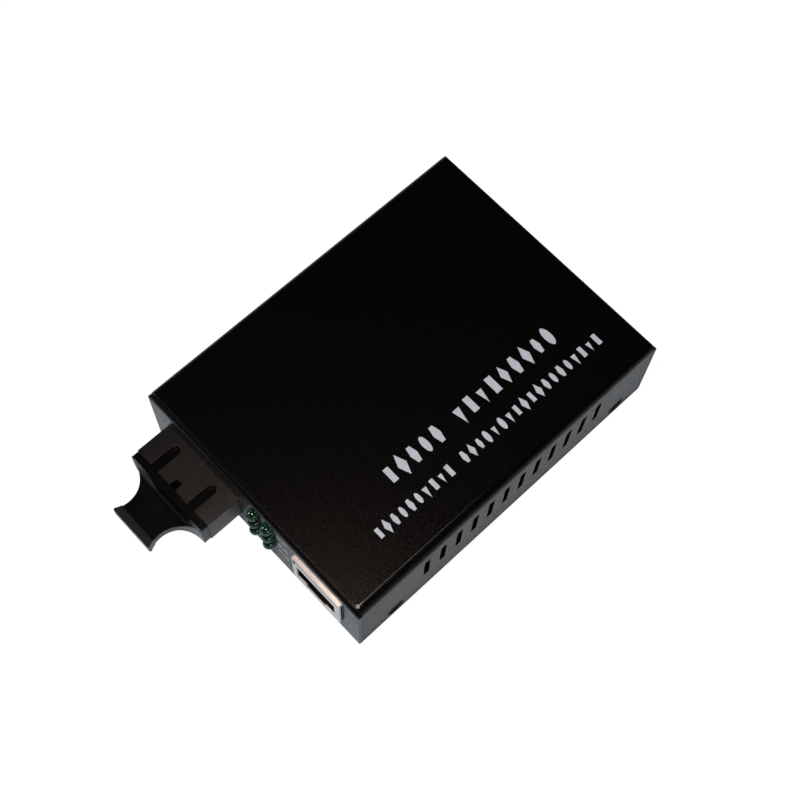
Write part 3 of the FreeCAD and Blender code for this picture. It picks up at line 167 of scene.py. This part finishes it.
for name, place, size, power, colour in (
        ("key lamp", (0.026, -0.090, 0.360), 0.05, 0.50, WARM),
        ("left lamp", (-0.95, -0.60, 0.55), 0.50, 7.5, COOL),
        ("right lamp", (1.00, -0.30, 0.45), 0.50, 2.2, COOL),
        ("back lamp", (-0.10, 1.10, 0.50), 0.50, 1.8, COOL)):
    lamp = bpy.data.objects.new(name, bpy.data.lights.new(name, "AREA"))
    bpy.context.scene.collection.objects.link(lamp)
    lamp.data.shape = "DISK"
    lamp.data.size = size
    lamp.data.energy = power
    lamp.data.color = colour
    lamp.location = place
    lamp.rotation_euler = (-Vector(place)).to_track_quat("-Z", "Y").to_euler()


# ---- Lid ----------------------------------------------------------------------------------
# One steel sheet bent down both sides, with punched vents, dressed in a fine black powder coat.
# Its eased edges take a lighter coat, a painted highlight, and a painted highlight line runs along the
# start of the right bend to a painted glint at the front corner.

COAT = ((0.0003, 0.0003, 0.0004), (0.0024, 0.0021, 0.0019), 0.27)
COAT_GRAIN = 2600.0
LID_EASE = 0.22
LID_BEND = 2.0 * MM
HIGHLIGHT_LINE = 0.10 * MM
GLINT_RADIUS = 0.45 * MM
HIGHLIGHT_REACH = 40.0 * MM
CORNER_INSET = 0.4 * MM
MERGED = 0.002 * MM
FLAT_ANGLE = 0.4


def finish(name, colour, other, roughness, spread=0.06, grain=900.0, relief=0.2, depth=0.02,
           patch=120.0, metal=0.0, ior=1.45, fine=0.4):
    """A surface whose colour and polish drift in patches and in its fine grain, with that grain
    also raised as a relief some hundredths of a millimetre deep."""
    made = bpy.data.materials.new(name)
    made.use_nodes = True
    tree = made.node_tree
    shader = tree.nodes["Principled BSDF"]
    shader.inputs["Metallic"].default_value = metal
    shader.inputs["IOR"].default_value = ior
    place = tree.nodes.new("ShaderNodeTexCoord")
    drift = tree.nodes.new("ShaderNodeTexNoise")
    drift.inputs["Scale"].default_value = patch
    drift.inputs["Detail"].default_value = 4.0
    tree.links.new(place.outputs["Object"], drift.inputs["Vector"])
    shade = tree.nodes.new("ShaderNodeValToRGB")
    shade.color_ramp.elements[0].position = 0.35
    shade.color_ramp.elements[0].color = (*colour, 1)
    shade.color_ramp.elements[1].position = 0.68
    shade.color_ramp.elements[1].color = (*other, 1)
    speck = tree.nodes.new("ShaderNodeTexNoise")
    speck.inputs["Scale"].default_value = grain
    speck.inputs["Detail"].default_value = 2.0
    tree.links.new(place.outputs["Object"], speck.inputs["Vector"])
    blend = tree.nodes.new("ShaderNodeMix")
    blend.inputs[0].default_value = fine
    tree.links.new(drift.outputs["Fac"], blend.inputs[2])
    tree.links.new(speck.outputs["Fac"], blend.inputs[3])
    tree.links.new(blend.outputs[0], shade.inputs["Fac"])
    tree.links.new(shade.outputs["Color"], shader.inputs["Base Color"])
    polish = tree.nodes.new("ShaderNodeMapRange")
    polish.inputs["From Min"].default_value = 0.3
    polish.inputs["From Max"].default_value = 0.7
    polish.inputs["To Min"].default_value = roughness + spread
    polish.inputs["To Max"].default_value = roughness - spread
    tree.links.new(blend.outputs[0], polish.inputs["Value"])
    tree.links.new(polish.outputs["Result"], shader.inputs["Roughness"])
    bump = tree.nodes.new("ShaderNodeBump")
    bump.inputs["Strength"].default_value = relief
    bump.inputs["Distance"].default_value = depth * MM
    tree.links.new(speck.outputs["Fac"], bump.inputs["Height"])
    tree.links.new(bump.outputs["Normal"], shader.inputs["Normal"])
    return made


def place_parts(tree):
    """A piece's own coordinates, whole and parted into X, Y and Z."""
    place = tree.nodes.new("ShaderNodeTexCoord")
    parts = tree.nodes.new("ShaderNodeSeparateXYZ")
    tree.links.new(place.outputs["Object"], parts.inputs[0])
    return place.outputs["Object"], parts.outputs


def paint_highlight(tree, where, colour):
    """A finish's colour gives way to a painted highlight colour, as far as a mask says."""
    base = tree.nodes["Principled BSDF"].inputs["Base Color"]
    rub = tree.nodes.new("ShaderNodeMixRGB")
    tree.links.new(where, rub.inputs[0])
    tree.links.new(base.links[0].from_socket, rub.inputs[1])
    if isinstance(colour, bpy.types.NodeSocket):
        tree.links.new(colour, rub.inputs[2])
    else:
        rub.inputs[2].default_value = colour
    tree.links.new(rub.outputs[0], base)


def fitted(name, mesh, materials, body, node=None):
    """A piece in the scene with its materials and body, and the node it stands in for."""
    piece = bpy.data.objects.new(name, mesh)
    bpy.context.scene.collection.objects.link(piece)
    for material in materials:
        mesh.materials.append(material)
    if node:
        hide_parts(node)
    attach(piece, body)
    return piece


def softened(node, name, body, materials, width, segments=2, limit=28.0, edge=-1):
    """A node's own shape with its sharp edges eased, standing in for the node."""
    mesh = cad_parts[node].data.copy()
    mesh.materials.clear()
    shape = bmesh.new()
    shape.from_mesh(mesh)
    bmesh.ops.remove_doubles(shape, verts=shape.verts, dist=MERGED)
    bmesh.ops.dissolve_limit(shape, angle_limit=math.radians(FLAT_ANGLE), verts=shape.verts,
                             edges=shape.edges)
    for face in shape.faces:
        face.smooth = True
        face.material_index = 0
    for side in shape.edges:
        side.smooth = side.calc_face_angle(0.0) < math.radians(limit)
    shape.to_mesh(mesh)
    shape.free()
    mesh.name = name
    piece = fitted(name, mesh, materials, body, node)
    ease = piece.modifiers.new("eased edges", "BEVEL")
    ease.width = width * MM
    ease.segments = segments
    ease.limit_method = "ANGLE"
    ease.angle_limit = math.radians(limit)
    ease.harden_normals = True
    ease.material = edge
    ease.use_clamp_overlap = True
    return piece


coat, lid_coat = (finish(name, *COAT, spread=0.05, grain=COAT_GRAIN, relief=0.8, depth=0.035,
                         patch=60.0, ior=1.33, fine=0.9)
                  for name in ("black powder coat", "lid powder coat"))
# The eased edges' lighter coat is a painted highlight.
edge_highlight_coat = finish("edge powder coat with painted highlight", (0.006, 0.006, 0.0062), (0.016, 0.015, 0.014), 0.30,
                     spread=0.05, grain=COAT_GRAIN, relief=0.5, depth=0.03, patch=200.0, fine=0.7)

lid_low, lid_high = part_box("cover")
bend_start = lid_high.x - LID_BEND
tree = lid_coat.node_tree
whole, parts = place_parts(tree)
from_corner = tree.nodes.new("ShaderNodeVectorMath")
from_corner.operation = "DISTANCE"
from_corner.inputs[1].default_value = (bend_start, lid_low.y + CORNER_INSET, lid_high.z)
tree.links.new(whole, from_corner.inputs[0])
# Painted highlight: a light line along the start of the right bend and a painted glint at the lid's front
# corner, fading with distance from the corner.
highlight_line = reckoned(tree, "COMPARE", parts["X"], bend_start, HIGHLIGHT_LINE)
glint_spot = reckoned(tree, "LESS_THAN", from_corner.outputs["Value"], GLINT_RADIUS)
highlight_fade = tree.nodes.new("ShaderNodeValToRGB")
highlight_fade.color_ramp.elements[0].position = 0.0
highlight_fade.color_ramp.elements[0].color = (0.42, 0.43, 0.44, 1)
highlight_fade.color_ramp.elements[1].position = 1.0
highlight_fade.color_ramp.elements[1].color = (0.0015, 0.0014, 0.0013, 1)
highlight_fade.color_ramp.elements.new(0.05).color = (0.11, 0.11, 0.112, 1)
tree.links.new(reckoned(tree, "DIVIDE", from_corner.outputs["Value"], HIGHLIGHT_REACH), highlight_fade.inputs["Fac"])
paint_highlight(tree, reckoned(tree, "MAXIMUM", highlight_line, glint_spot), highlight_fade.outputs["Color"])
softened("cover", "lid", "case", [lid_coat, edge_highlight_coat], LID_EASE, segments=3, edge=1)


# ---- Print on the lid ---------------------------------------------------------------------
# Two rows of white silk-screened marks along the right side: plain filled shapes that stand for
# the lettering and say nothing.

INK_SUNK = 0.005 * MM
INK_THICKNESS = 0.02 * MM
MARK_ACROSS = 1.5
MARK_ALONG = 0.60
MARK_SCALES = (0.86, 1.0, 0.94)
# Corners, the share of a corner that the shape is turned by, and how far it is stretched.
MARK_SHAPES = ((4, 0.5, 1.25), (24, 0.0, 1.0), (4, 0.0, 1.2), (3, 0.0, 1.15), (6, 0.5, 1.05))
# Millimetres in from the lid's right side, first mark, pitch, number of marks, and their size.
PRINT_ROWS = ((18.9, -20.0, 3.55, 15, 3.4), (10.75, -31.0, 2.36, 30, 2.25))

ink = finish("white ink", (0.62, 0.70, 0.79), (0.72, 0.80, 0.88), 0.5, grain=2200.0, relief=0.3,
             depth=0.01, patch=700.0)


def verts_of(geometry):
    """The corners among what an operator gave back."""
    return [part for part in geometry if isinstance(part, bmesh.types.BMVert)]


def mark(shape, middle, width, length, corners, turned):
    """One flat filled shape with a number of corners, as thick as a coat of ink."""
    rim = []
    for i in range(corners):
        angle = math.tau * (i + turned) / corners
        rim.append(shape.verts.new((middle[0] + width / 2 * math.cos(angle),
                                    middle[1] + length / 2 * math.sin(angle),
                                    lid_high.z - INK_SUNK)))
    raised = bmesh.ops.extrude_face_region(shape, geom=[shape.faces.new(rim)])["geom"]
    bmesh.ops.translate(shape, vec=(0, 0, INK_THICKNESS), verts=verts_of(raised))


def modelled(name, shape, material, node=None):
    """A new piece of the case from its finished shape."""
    mesh = bpy.data.meshes.new(name)
    shape.to_mesh(mesh)
    shape.free()
    return fitted(name, mesh, [material], "case", node)


shape = bmesh.new()
for inward, first, pitch, count, size in PRINT_ROWS:
    for i in range(count):
        if i == count // 3:
            continue
        corners, turned, stretch = MARK_SHAPES[(i * 7 + i // 4) % len(MARK_SHAPES)]
        scale = MARK_SCALES[(i * 4 + i // 5) % len(MARK_SCALES)] * size * stretch * MM
        spot = (lid_high.x - inward * MM, (first + i * pitch) * MM)
        mark(shape, spot, scale * MARK_ACROSS, scale * MARK_ALONG, corners, turned)
bmesh.ops.recalc_face_normals(shape, faces=shape.faces)
modelled("lid_print", shape, ink)


# ---- Tray ---------------------------------------------------------------------------------
# The floor with its front and rear panels and return flanges, bent from one sheet and coated
# like the lid.

softened("chassis", "tray", "case", [coat, edge_highlight_coat], 0.10, edge=1)


# ---- Side screws --------------------------------------------------------------------------
# Four black countersunk steel screws with cross recesses. They go through the lid's sides into
# the tray's side flanges, and their heads sit a little below the face.

SCREW_SUNK = 0.45 * MM
HEAD_CLEARANCE = 0.05 * MM
RECESS_CELLS = 5
RECESS_DEPTH = 0.9 * MM
SHANK_RADIUS = 1.5 * MM
CONE_DEPTH = 1.0 * MM
SHANK_LENGTH = 3.8 * MM

black_screw = finish("blackened screw", (0.012, 0.012, 0.013), (0.024, 0.023, 0.022), 0.30,
                     grain=1800.0, relief=0.25, depth=0.01, patch=500.0, metal=0.3)
screw_low, screw_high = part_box("cover_screws")
screw_rim = (screw_high.z - screw_low.z) / 2
screw_head = screw_rim - SCREW_SUNK - HEAD_CLEARANCE
grid_side = screw_head * 0.92
cell = grid_side * 2 / RECESS_CELLS
shape = bmesh.new()
bmesh.ops.create_grid(shape, x_segments=RECESS_CELLS, y_segments=RECESS_CELLS, size=grid_side)
for vert in shape.verts:
    if max(abs(vert.co.x), abs(vert.co.y)) > 2.2 * cell:
        vert.co = vert.co.normalized() * screw_head
rim = [side for side in shape.edges if side.is_boundary]
arms = []
for face in shape.faces:
    away = face.calc_center_median()
    if min(abs(away.x), abs(away.y)) < 0.3 * cell and away.length < 1.3 * cell:
        arms.append(face)
sunk = bmesh.ops.extrude_face_region(shape, geom=arms)["geom"]
bmesh.ops.delete(shape, geom=arms, context="FACES_ONLY")
bmesh.ops.translate(shape, verts=verts_of(sunk), vec=(0, 0, -RECESS_DEPTH))
for radius, down in ((1.0, 0.0), (SHANK_RADIUS / screw_head, SCREW_SUNK - CONE_DEPTH),
                     (1.0, -SHANK_LENGTH)):
    ring = bmesh.ops.extrude_edge_only(shape, edges=rim)["geom"]
    rim = [part for part in ring if isinstance(part, bmesh.types.BMEdge)]
    bmesh.ops.scale(shape, verts=verts_of(ring), vec=(radius, radius, 1.0))
    bmesh.ops.translate(shape, verts=verts_of(ring), vec=(0, 0, down))
bmesh.ops.holes_fill(shape, edges=rim)
bmesh.ops.remove_doubles(shape, verts=shape.verts, dist=MERGED / 2)
bmesh.ops.recalc_face_normals(shape, faces=shape.faces)
one_screw = shape.verts[:] + shape.edges[:] + shape.faces[:]
for hand in (-1, 1):
    for spot in (screw_low.y + screw_rim, screw_high.y - screw_rim):
        twin = bmesh.ops.duplicate(shape, geom=one_screw)["geom"]
        bmesh.ops.transform(shape, verts=verts_of(twin),
                            matrix=Matrix.Translation((hand * (screw_high.x - SCREW_SUNK), spot,
                                                       screw_low.z + screw_rim))
                            @ Matrix.Rotation(hand * math.pi / 2, 4, "Y")
                            @ Matrix.Rotation(0.5 + spot * 40, 4, "Z"))
bmesh.ops.delete(shape, geom=verts_of(one_screw), context="VERTS")
side_screws = modelled("side_screws", shape, black_screw, "cover_screws")
ease = side_screws.modifiers.new("eased edges", "BEVEL")
ease.width = 0.07 * MM
ease.segments = 2
ease.limit_method = "ANGLE"
ease.angle_limit = math.radians(35)


# ---- Circuit board ------------------------------------------------------------------------
# A glass-fibre board under green solder resist. It stands on four plated pillars and is held by
# four zinc-plated pan head screws.

resist = finish("green solder resist", (0.008, 0.075, 0.034), (0.012, 0.105, 0.048), 0.30,
                grain=700.0, relief=0.12, patch=300.0)
softened("circuit_board", "board", "case", [resist], 0.05)
plated = finish("nickel plate", (0.56, 0.54, 0.47), (0.64, 0.62, 0.56), 0.30, grain=1500.0,
                depth=0.01, patch=400.0, metal=1.0)
softened("board_pillars", "pillars", "case", [plated], 0.08)
zinc = finish("zinc plate", (0.52, 0.54, 0.56), (0.62, 0.63, 0.62), 0.28, grain=1500.0,
              depth=0.01, patch=500.0, metal=1.0)
softened("board_screws", "pan_screws", "case", [zinc], 0.08)


# ---- Fibre receptacle ---------------------------------------------------------------------
# A black glass-filled moulding with two keyed ports and a notch between them, whose floor takes
# a darker, glossier black as painted shade, and the optics and cap behind it.

NOTCH_HALF_WIDTH = 1.0 * MM
NOTCH_LENGTH = 2.3 * MM
NOTCH_TOP = 0.2 * MM
NOTCH_DEPTH = 2.7 * MM

moulded_black = finish("moulded black", (0.0018, 0.0017, 0.0017), (0.0050, 0.0046, 0.0044), 0.35,
                       spread=0.07, grain=2300.0, relief=0.8, depth=0.03, patch=400.0, ior=1.56, fine=0.8)
# Painted shade: the notch floor gets a darker, glossier black than the moulding.
notch_shade_black = finish("notch floor, painted shade", (0.0008, 0.0008, 0.0008), (0.0016, 0.0015, 0.0015), 0.12,
                        spread=0.03, grain=2300.0, relief=0.1, depth=0.01, patch=400.0)
receptacle = softened("optic_housing", "receptacle", "case",
                      [moulded_black, notch_shade_black], 0.12, edge=0)
housing_low, housing_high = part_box("optic_housing")
notch = Vector(((housing_low.x + housing_high.x) / 2, housing_low.y, housing_high.z))
for face in receptacle.data.polygons:
    away = face.center - notch
    if abs(away.x) < NOTCH_HALF_WIDTH and away.y < NOTCH_LENGTH and -NOTCH_DEPTH < away.z < -NOTCH_TOP:
        face.material_index = 1
softened("optic_cap", "receptacle_cap", "case", [moulded_black], 0.15)
latch_black = finish("latch moulding", (0.022, 0.022, 0.024), (0.032, 0.032, 0.034), 0.45,
                     grain=1500.0, depth=0.01)
softened("latch_inserts", "latches", "case", [latch_black], 0.05)
turned_steel = finish("turned steel", (0.46, 0.46, 0.46), (0.58, 0.58, 0.58), 0.28, grain=1400.0,
                      depth=0.01, metal=1.0)
softened("optic_sender", "sender", "case", [turned_steel], 0.08)
softened("optic_receiver", "receiver", "case", [turned_steel], 0.08)
softened("optic_board", "receptacle_board", "case", [resist], 0.04)
tinned = finish("tinned wire", (0.58, 0.58, 0.58), (0.68, 0.68, 0.67), 0.30, grain=1500.0,
                relief=0.15, depth=0.01, metal=1.0)
softened("optic_pins", "receptacle_pins", "case", [tinned], 0.04)


# ---- Dust plug ----------------------------------------------------------------------------
# A black moulded plug that pulls straight out of both ports by its waisted grip, whose end is
# painted lighter, a painted highlight.

GRIP_HIGHLIGHT_FULL = 1.5 * MM
GRIP_HIGHLIGHT_GONE = 2.3 * MM

plug_black = finish("dust plug moulding", (0.0012, 0.0012, 0.0012), (0.0034, 0.0031, 0.0028), 0.23,
                    spread=0.05, grain=1500.0, relief=0.5, depth=0.03, patch=180.0, ior=1.36)
grip_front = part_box("dust_plug")[0].y
tree = plug_black.node_tree
whole, parts = place_parts(tree)
grip_highlight = tree.nodes.new("ShaderNodeMapRange")
grip_highlight.inputs["From Min"].default_value = grip_front + GRIP_HIGHLIGHT_FULL
grip_highlight.inputs["From Max"].default_value = grip_front + GRIP_HIGHLIGHT_GONE
grip_highlight.inputs["To Min"].default_value = 1.0
grip_highlight.inputs["To Max"].default_value = 0.0
tree.links.new(parts["Y"], grip_highlight.inputs["Value"])
# Painted highlight: the grip's end is painted lighter than the rest of the plug.
paint_highlight(tree, grip_highlight.outputs["Result"], (0.022, 0.022, 0.021, 1))
softened("dust_plug", "plug", "plug", [plug_black], 0.14, segments=3)


# ---- Status lamps -------------------------------------------------------------------------
# Six green-tinted epoxy lamps in a black moulded stack, each on two tinned leads, with two
# printed ticks beside each pair.

LAMP_LEVELS = ("lower", "middle", "upper")
DOME_STEPS = 8
COLLAR_OUT = 0.10 * MM
COLLAR_FROM = 0.05 * MM
COLLAR_TO = 0.50 * MM
COLLAR_SLOPE = 0.05 * MM
POST_ASIDE = 0.62 * MM
POST_HEIGHT = 0.45 * MM
TICKS = ((1.9, 1.3), (3.8, 1.7))
TICK_HEIGHT = 0.6 * MM
SKIN = 0.03 * MM
SKIN_PROUD = 0.004 * MM
SKIN_EASE = 0.008 * MM

epoxy = bpy.data.materials.new("green epoxy")
epoxy.use_nodes = True
tree = epoxy.node_tree
shader = tree.nodes["Principled BSDF"]
shader.inputs["Roughness"].default_value = 0.07
shader.inputs["IOR"].default_value = 1.54
shader.inputs["Transmission Weight"].default_value = 0.60
place = tree.nodes.new("ShaderNodeTexCoord")
cloud = tree.nodes.new("ShaderNodeTexNoise")
cloud.inputs["Scale"].default_value = 900.0
cloud.inputs["Detail"].default_value = 3.0
tree.links.new(place.outputs["Object"], cloud.inputs["Vector"])
tint = tree.nodes.new("ShaderNodeValToRGB")
tint.color_ramp.elements[0].position = 0.35
tint.color_ramp.elements[0].color = (0.004, 0.045, 0.016, 1)
tint.color_ramp.elements[1].position = 0.70
tint.color_ramp.elements[1].color = (0.014, 0.120, 0.042, 1)
tree.links.new(cloud.outputs["Fac"], tint.inputs["Fac"])
tree.links.new(tint.outputs["Color"], shader.inputs["Base Color"])
frame_steel = finish("lead frame", (0.60, 0.60, 0.58), (0.72, 0.72, 0.70), 0.25, grain=1500.0,
                     relief=0.15, depth=0.01, metal=1.0)


def blocks(places, ease, segments):
    """Small blocks in one shape, each given by its middle and its sizes, with eased edges."""
    shape = bmesh.new()
    for middle, sizes in places:
        bmesh.ops.create_cube(shape, size=1.0,
                              matrix=Matrix.Translation(middle) @ Matrix.Diagonal((*sizes, 1)))
    bmesh.ops.bevel(shape, geom=shape.edges[:], offset=ease, offset_type="OFFSET",
                    affect="EDGES", segments=segments, profile=0.5, material=-1)
    return shape


for level in LAMP_LEVELS:
    for side in ("left", "right"):
        lens_low, lens_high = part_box(f"lamp_{level}_{side}")
        lens_middle = (lens_low + lens_high) / 2
        lens_half = (lens_high.x - lens_low.x) / 2
        seat = lens_low.y + lens_half
        steps = [(0.0, lens_low.y)]
        for i in range(1, DOME_STEPS + 1):
            turn = math.pi / 2 * i / DOME_STEPS
            steps.append((lens_half * math.sin(turn), seat - lens_half * math.cos(turn)))
        steps += [(lens_half, seat + COLLAR_FROM),
                  (lens_half + COLLAR_OUT, seat + COLLAR_FROM + COLLAR_SLOPE),
                  (lens_half + COLLAR_OUT, seat + COLLAR_TO - COLLAR_SLOPE),
                  (lens_half, seat + COLLAR_TO),
                  (lens_half, lens_high.y), (0.0, lens_high.y)]
        shape = bmesh.new()
        outline = [shape.verts.new((reach, away, 0.0)) for reach, away in steps]
        sides = [shape.edges.new(pair) for pair in zip(outline, outline[1:])]
        bmesh.ops.spin(shape, geom=outline + sides, cent=(0, 0, 0), axis=(0, 1, 0), angle=math.tau,
                       steps=32, use_merge=True, use_duplicate=False)
        bmesh.ops.remove_doubles(shape, verts=shape.verts, dist=MERGED)
        bmesh.ops.recalc_face_normals(shape, faces=shape.faces)
        for face in shape.faces:
            face.smooth = True
        for edge in shape.edges:
            edge.smooth = edge.calc_face_angle(0.0) < math.radians(50)
        bmesh.ops.translate(shape, verts=shape.verts, vec=(lens_middle.x, 0, lens_middle.z))
        modelled(f"lens_{level}_{side}", shape, epoxy, f"lamp_{level}_{side}")

        posts = [((lens_middle.x + hand * POST_ASIDE, (seat + lens_high.y) / 2 + 0.5 * MM, lens_middle.z),
                  (width * MM, lens_high.y - seat - 1.1 * MM, POST_HEIGHT))
                 for hand, width in ((-1, 0.55), (1, 0.95))]
        modelled(f"lens_posts_{level}_{side}", blocks(posts, 0.08 * MM, 2), frame_steel)

panel_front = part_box("chassis")[0].y
ticks = []
for level in LAMP_LEVELS:
    lens_low, lens_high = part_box(f"lamp_{level}_right")
    for aside, length in TICKS:
        ticks.append(((lens_high.x + aside * MM, panel_front - SKIN_PROUD, (lens_low.z + lens_high.z) / 2),
                      (length * MM, SKIN, TICK_HEIGHT)))
modelled("lamp_ticks", blocks(ticks, SKIN_EASE, 1), ink)

holder_black = finish("holder moulding", (0.013, 0.013, 0.013), (0.020, 0.020, 0.020), 0.5,
                      grain=1200.0)
softened("lamp_holder", "lamp_stack", "case", [holder_black], 0.08)
softened("lamp_leads", "lamp_wires", "case", [tinned], 0.04)


# ---- Copper socket ------------------------------------------------------------------------
# A folded, nickel-plated shield round a black moulded socket with eight gilt contacts. Matte dark
# strips lie on its face as painted shade in a fold line and a slot, and as a painted shadow in the gap
# where it leaves the panel.

shield_plate = finish("shield plate", (0.74, 0.72, 0.71), (0.86, 0.84, 0.83), 0.50,
                      relief=0.15, depth=0.01, patch=250.0, metal=1.0)
softened("jack_shield", "socket_shield", "case", [shield_plate], 0.06)

face_low, face_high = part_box("jack_shield")
face_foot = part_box("circuit_board")[1].z
fold_shade = (((face_low.x + face_high.x) / 2, face_low.y - SKIN_PROUD, face_high.z - 0.75 * MM),
             (face_high.x - face_low.x - 1.2 * MM, SKIN, 0.30 * MM))
slot_shade = ((face_low.x + 0.95 * MM, face_low.y - SKIN_PROUD, face_high.z - 2.1 * MM),
              (0.7 * MM, SKIN, 1.6 * MM))
shadow_gap = ((face_high.x + SKIN_PROUD, panel_front - 0.25 * MM, (face_foot + face_high.z) / 2),
              (SKIN, 0.40 * MM, face_high.z - face_foot - 1.2 * MM))
# Painted shade and painted shadow: matte dark strips without sheen.
painted_shade_strip = finish("painted shade", (0.003, 0.003, 0.004), (0.010, 0.010, 0.011), 0.8, grain=1500.0,
                   depth=0.01, patch=500.0, ior=1.03)
modelled("shield_painted_shade", blocks((fold_shade, slot_shade, shadow_gap), SKIN_EASE, 1), painted_shade_strip)

socket_black = finish("socket moulding", (0.0016, 0.0016, 0.0018), (0.0030, 0.0030, 0.0034), 0.13,
                      spread=0.03, grain=1300.0, depth=0.01, ior=1.40)
softened("jack_housing", "socket_moulding", "case", [socket_black], 0.08)
gilt = finish("gold plate", (0.80, 0.56, 0.20), (0.86, 0.64, 0.28), 0.22, grain=1500.0, relief=0.1,
              depth=0.01, patch=500.0, metal=1.0)
softened("jack_contacts", "socket_contacts", "case", [gilt], 0.03)


# ---- Power inlet --------------------------------------------------------------------------
# A black moulded barrel inlet behind the rear panel's round hole, soldered to the board by its
# centre pin and its spring leaf.

softened("inlet_body", "inlet_moulding", "case", [socket_black], 0.10)
softened("inlet_pin", "inlet_centre_pin", "case", [tinned], 0.06)
softened("inlet_contacts", "inlet_springs", "case", [tinned], 0.04)


# ---- Parts on the board -------------------------------------------------------------------
# The soldered parts that do the converting, closed in by the lid: moulded chips, sleeved
# capacitors, a canned crystal, a ferrite coil and small ceramic parts.

epoxy_black = finish("chip epoxy", (0.012, 0.012, 0.013), (0.018, 0.018, 0.019), 0.55, grain=1500.0,
                     relief=0.3)
for node in ("converter_chip", "line_transformer", "memory_chip", "regulator", "chip_resistors"):
    softened(node, node + "_shown", "case", [epoxy_black], 0.06)
sleeve = finish("capacitor sleeve", (0.012, 0.022, 0.070), (0.018, 0.030, 0.085), 0.25, grain=600.0,
                relief=0.1)
for node in ("capacitor_input", "capacitor_output"):
    softened(node, node + "_shown", "case", [sleeve], 0.3, segments=3)
softened("crystal", "crystal_can", "case", [shield_plate], 0.2, segments=3)
ferrite = finish("grey ferrite", (0.045, 0.045, 0.047), (0.065, 0.065, 0.066), 0.6, grain=1200.0,
                 relief=0.3)
softened("power_coil", "coil", "case", [ferrite], 0.1)
tan_ceramic = finish("tan ceramic", (0.36, 0.26, 0.16), (0.44, 0.33, 0.21), 0.5, grain=1200.0,
                     depth=0.01)
for node in ("board_fuse", "chip_capacitors"):
    softened(node, node + "_shown", "case", [tan_ceramic], 0.05)
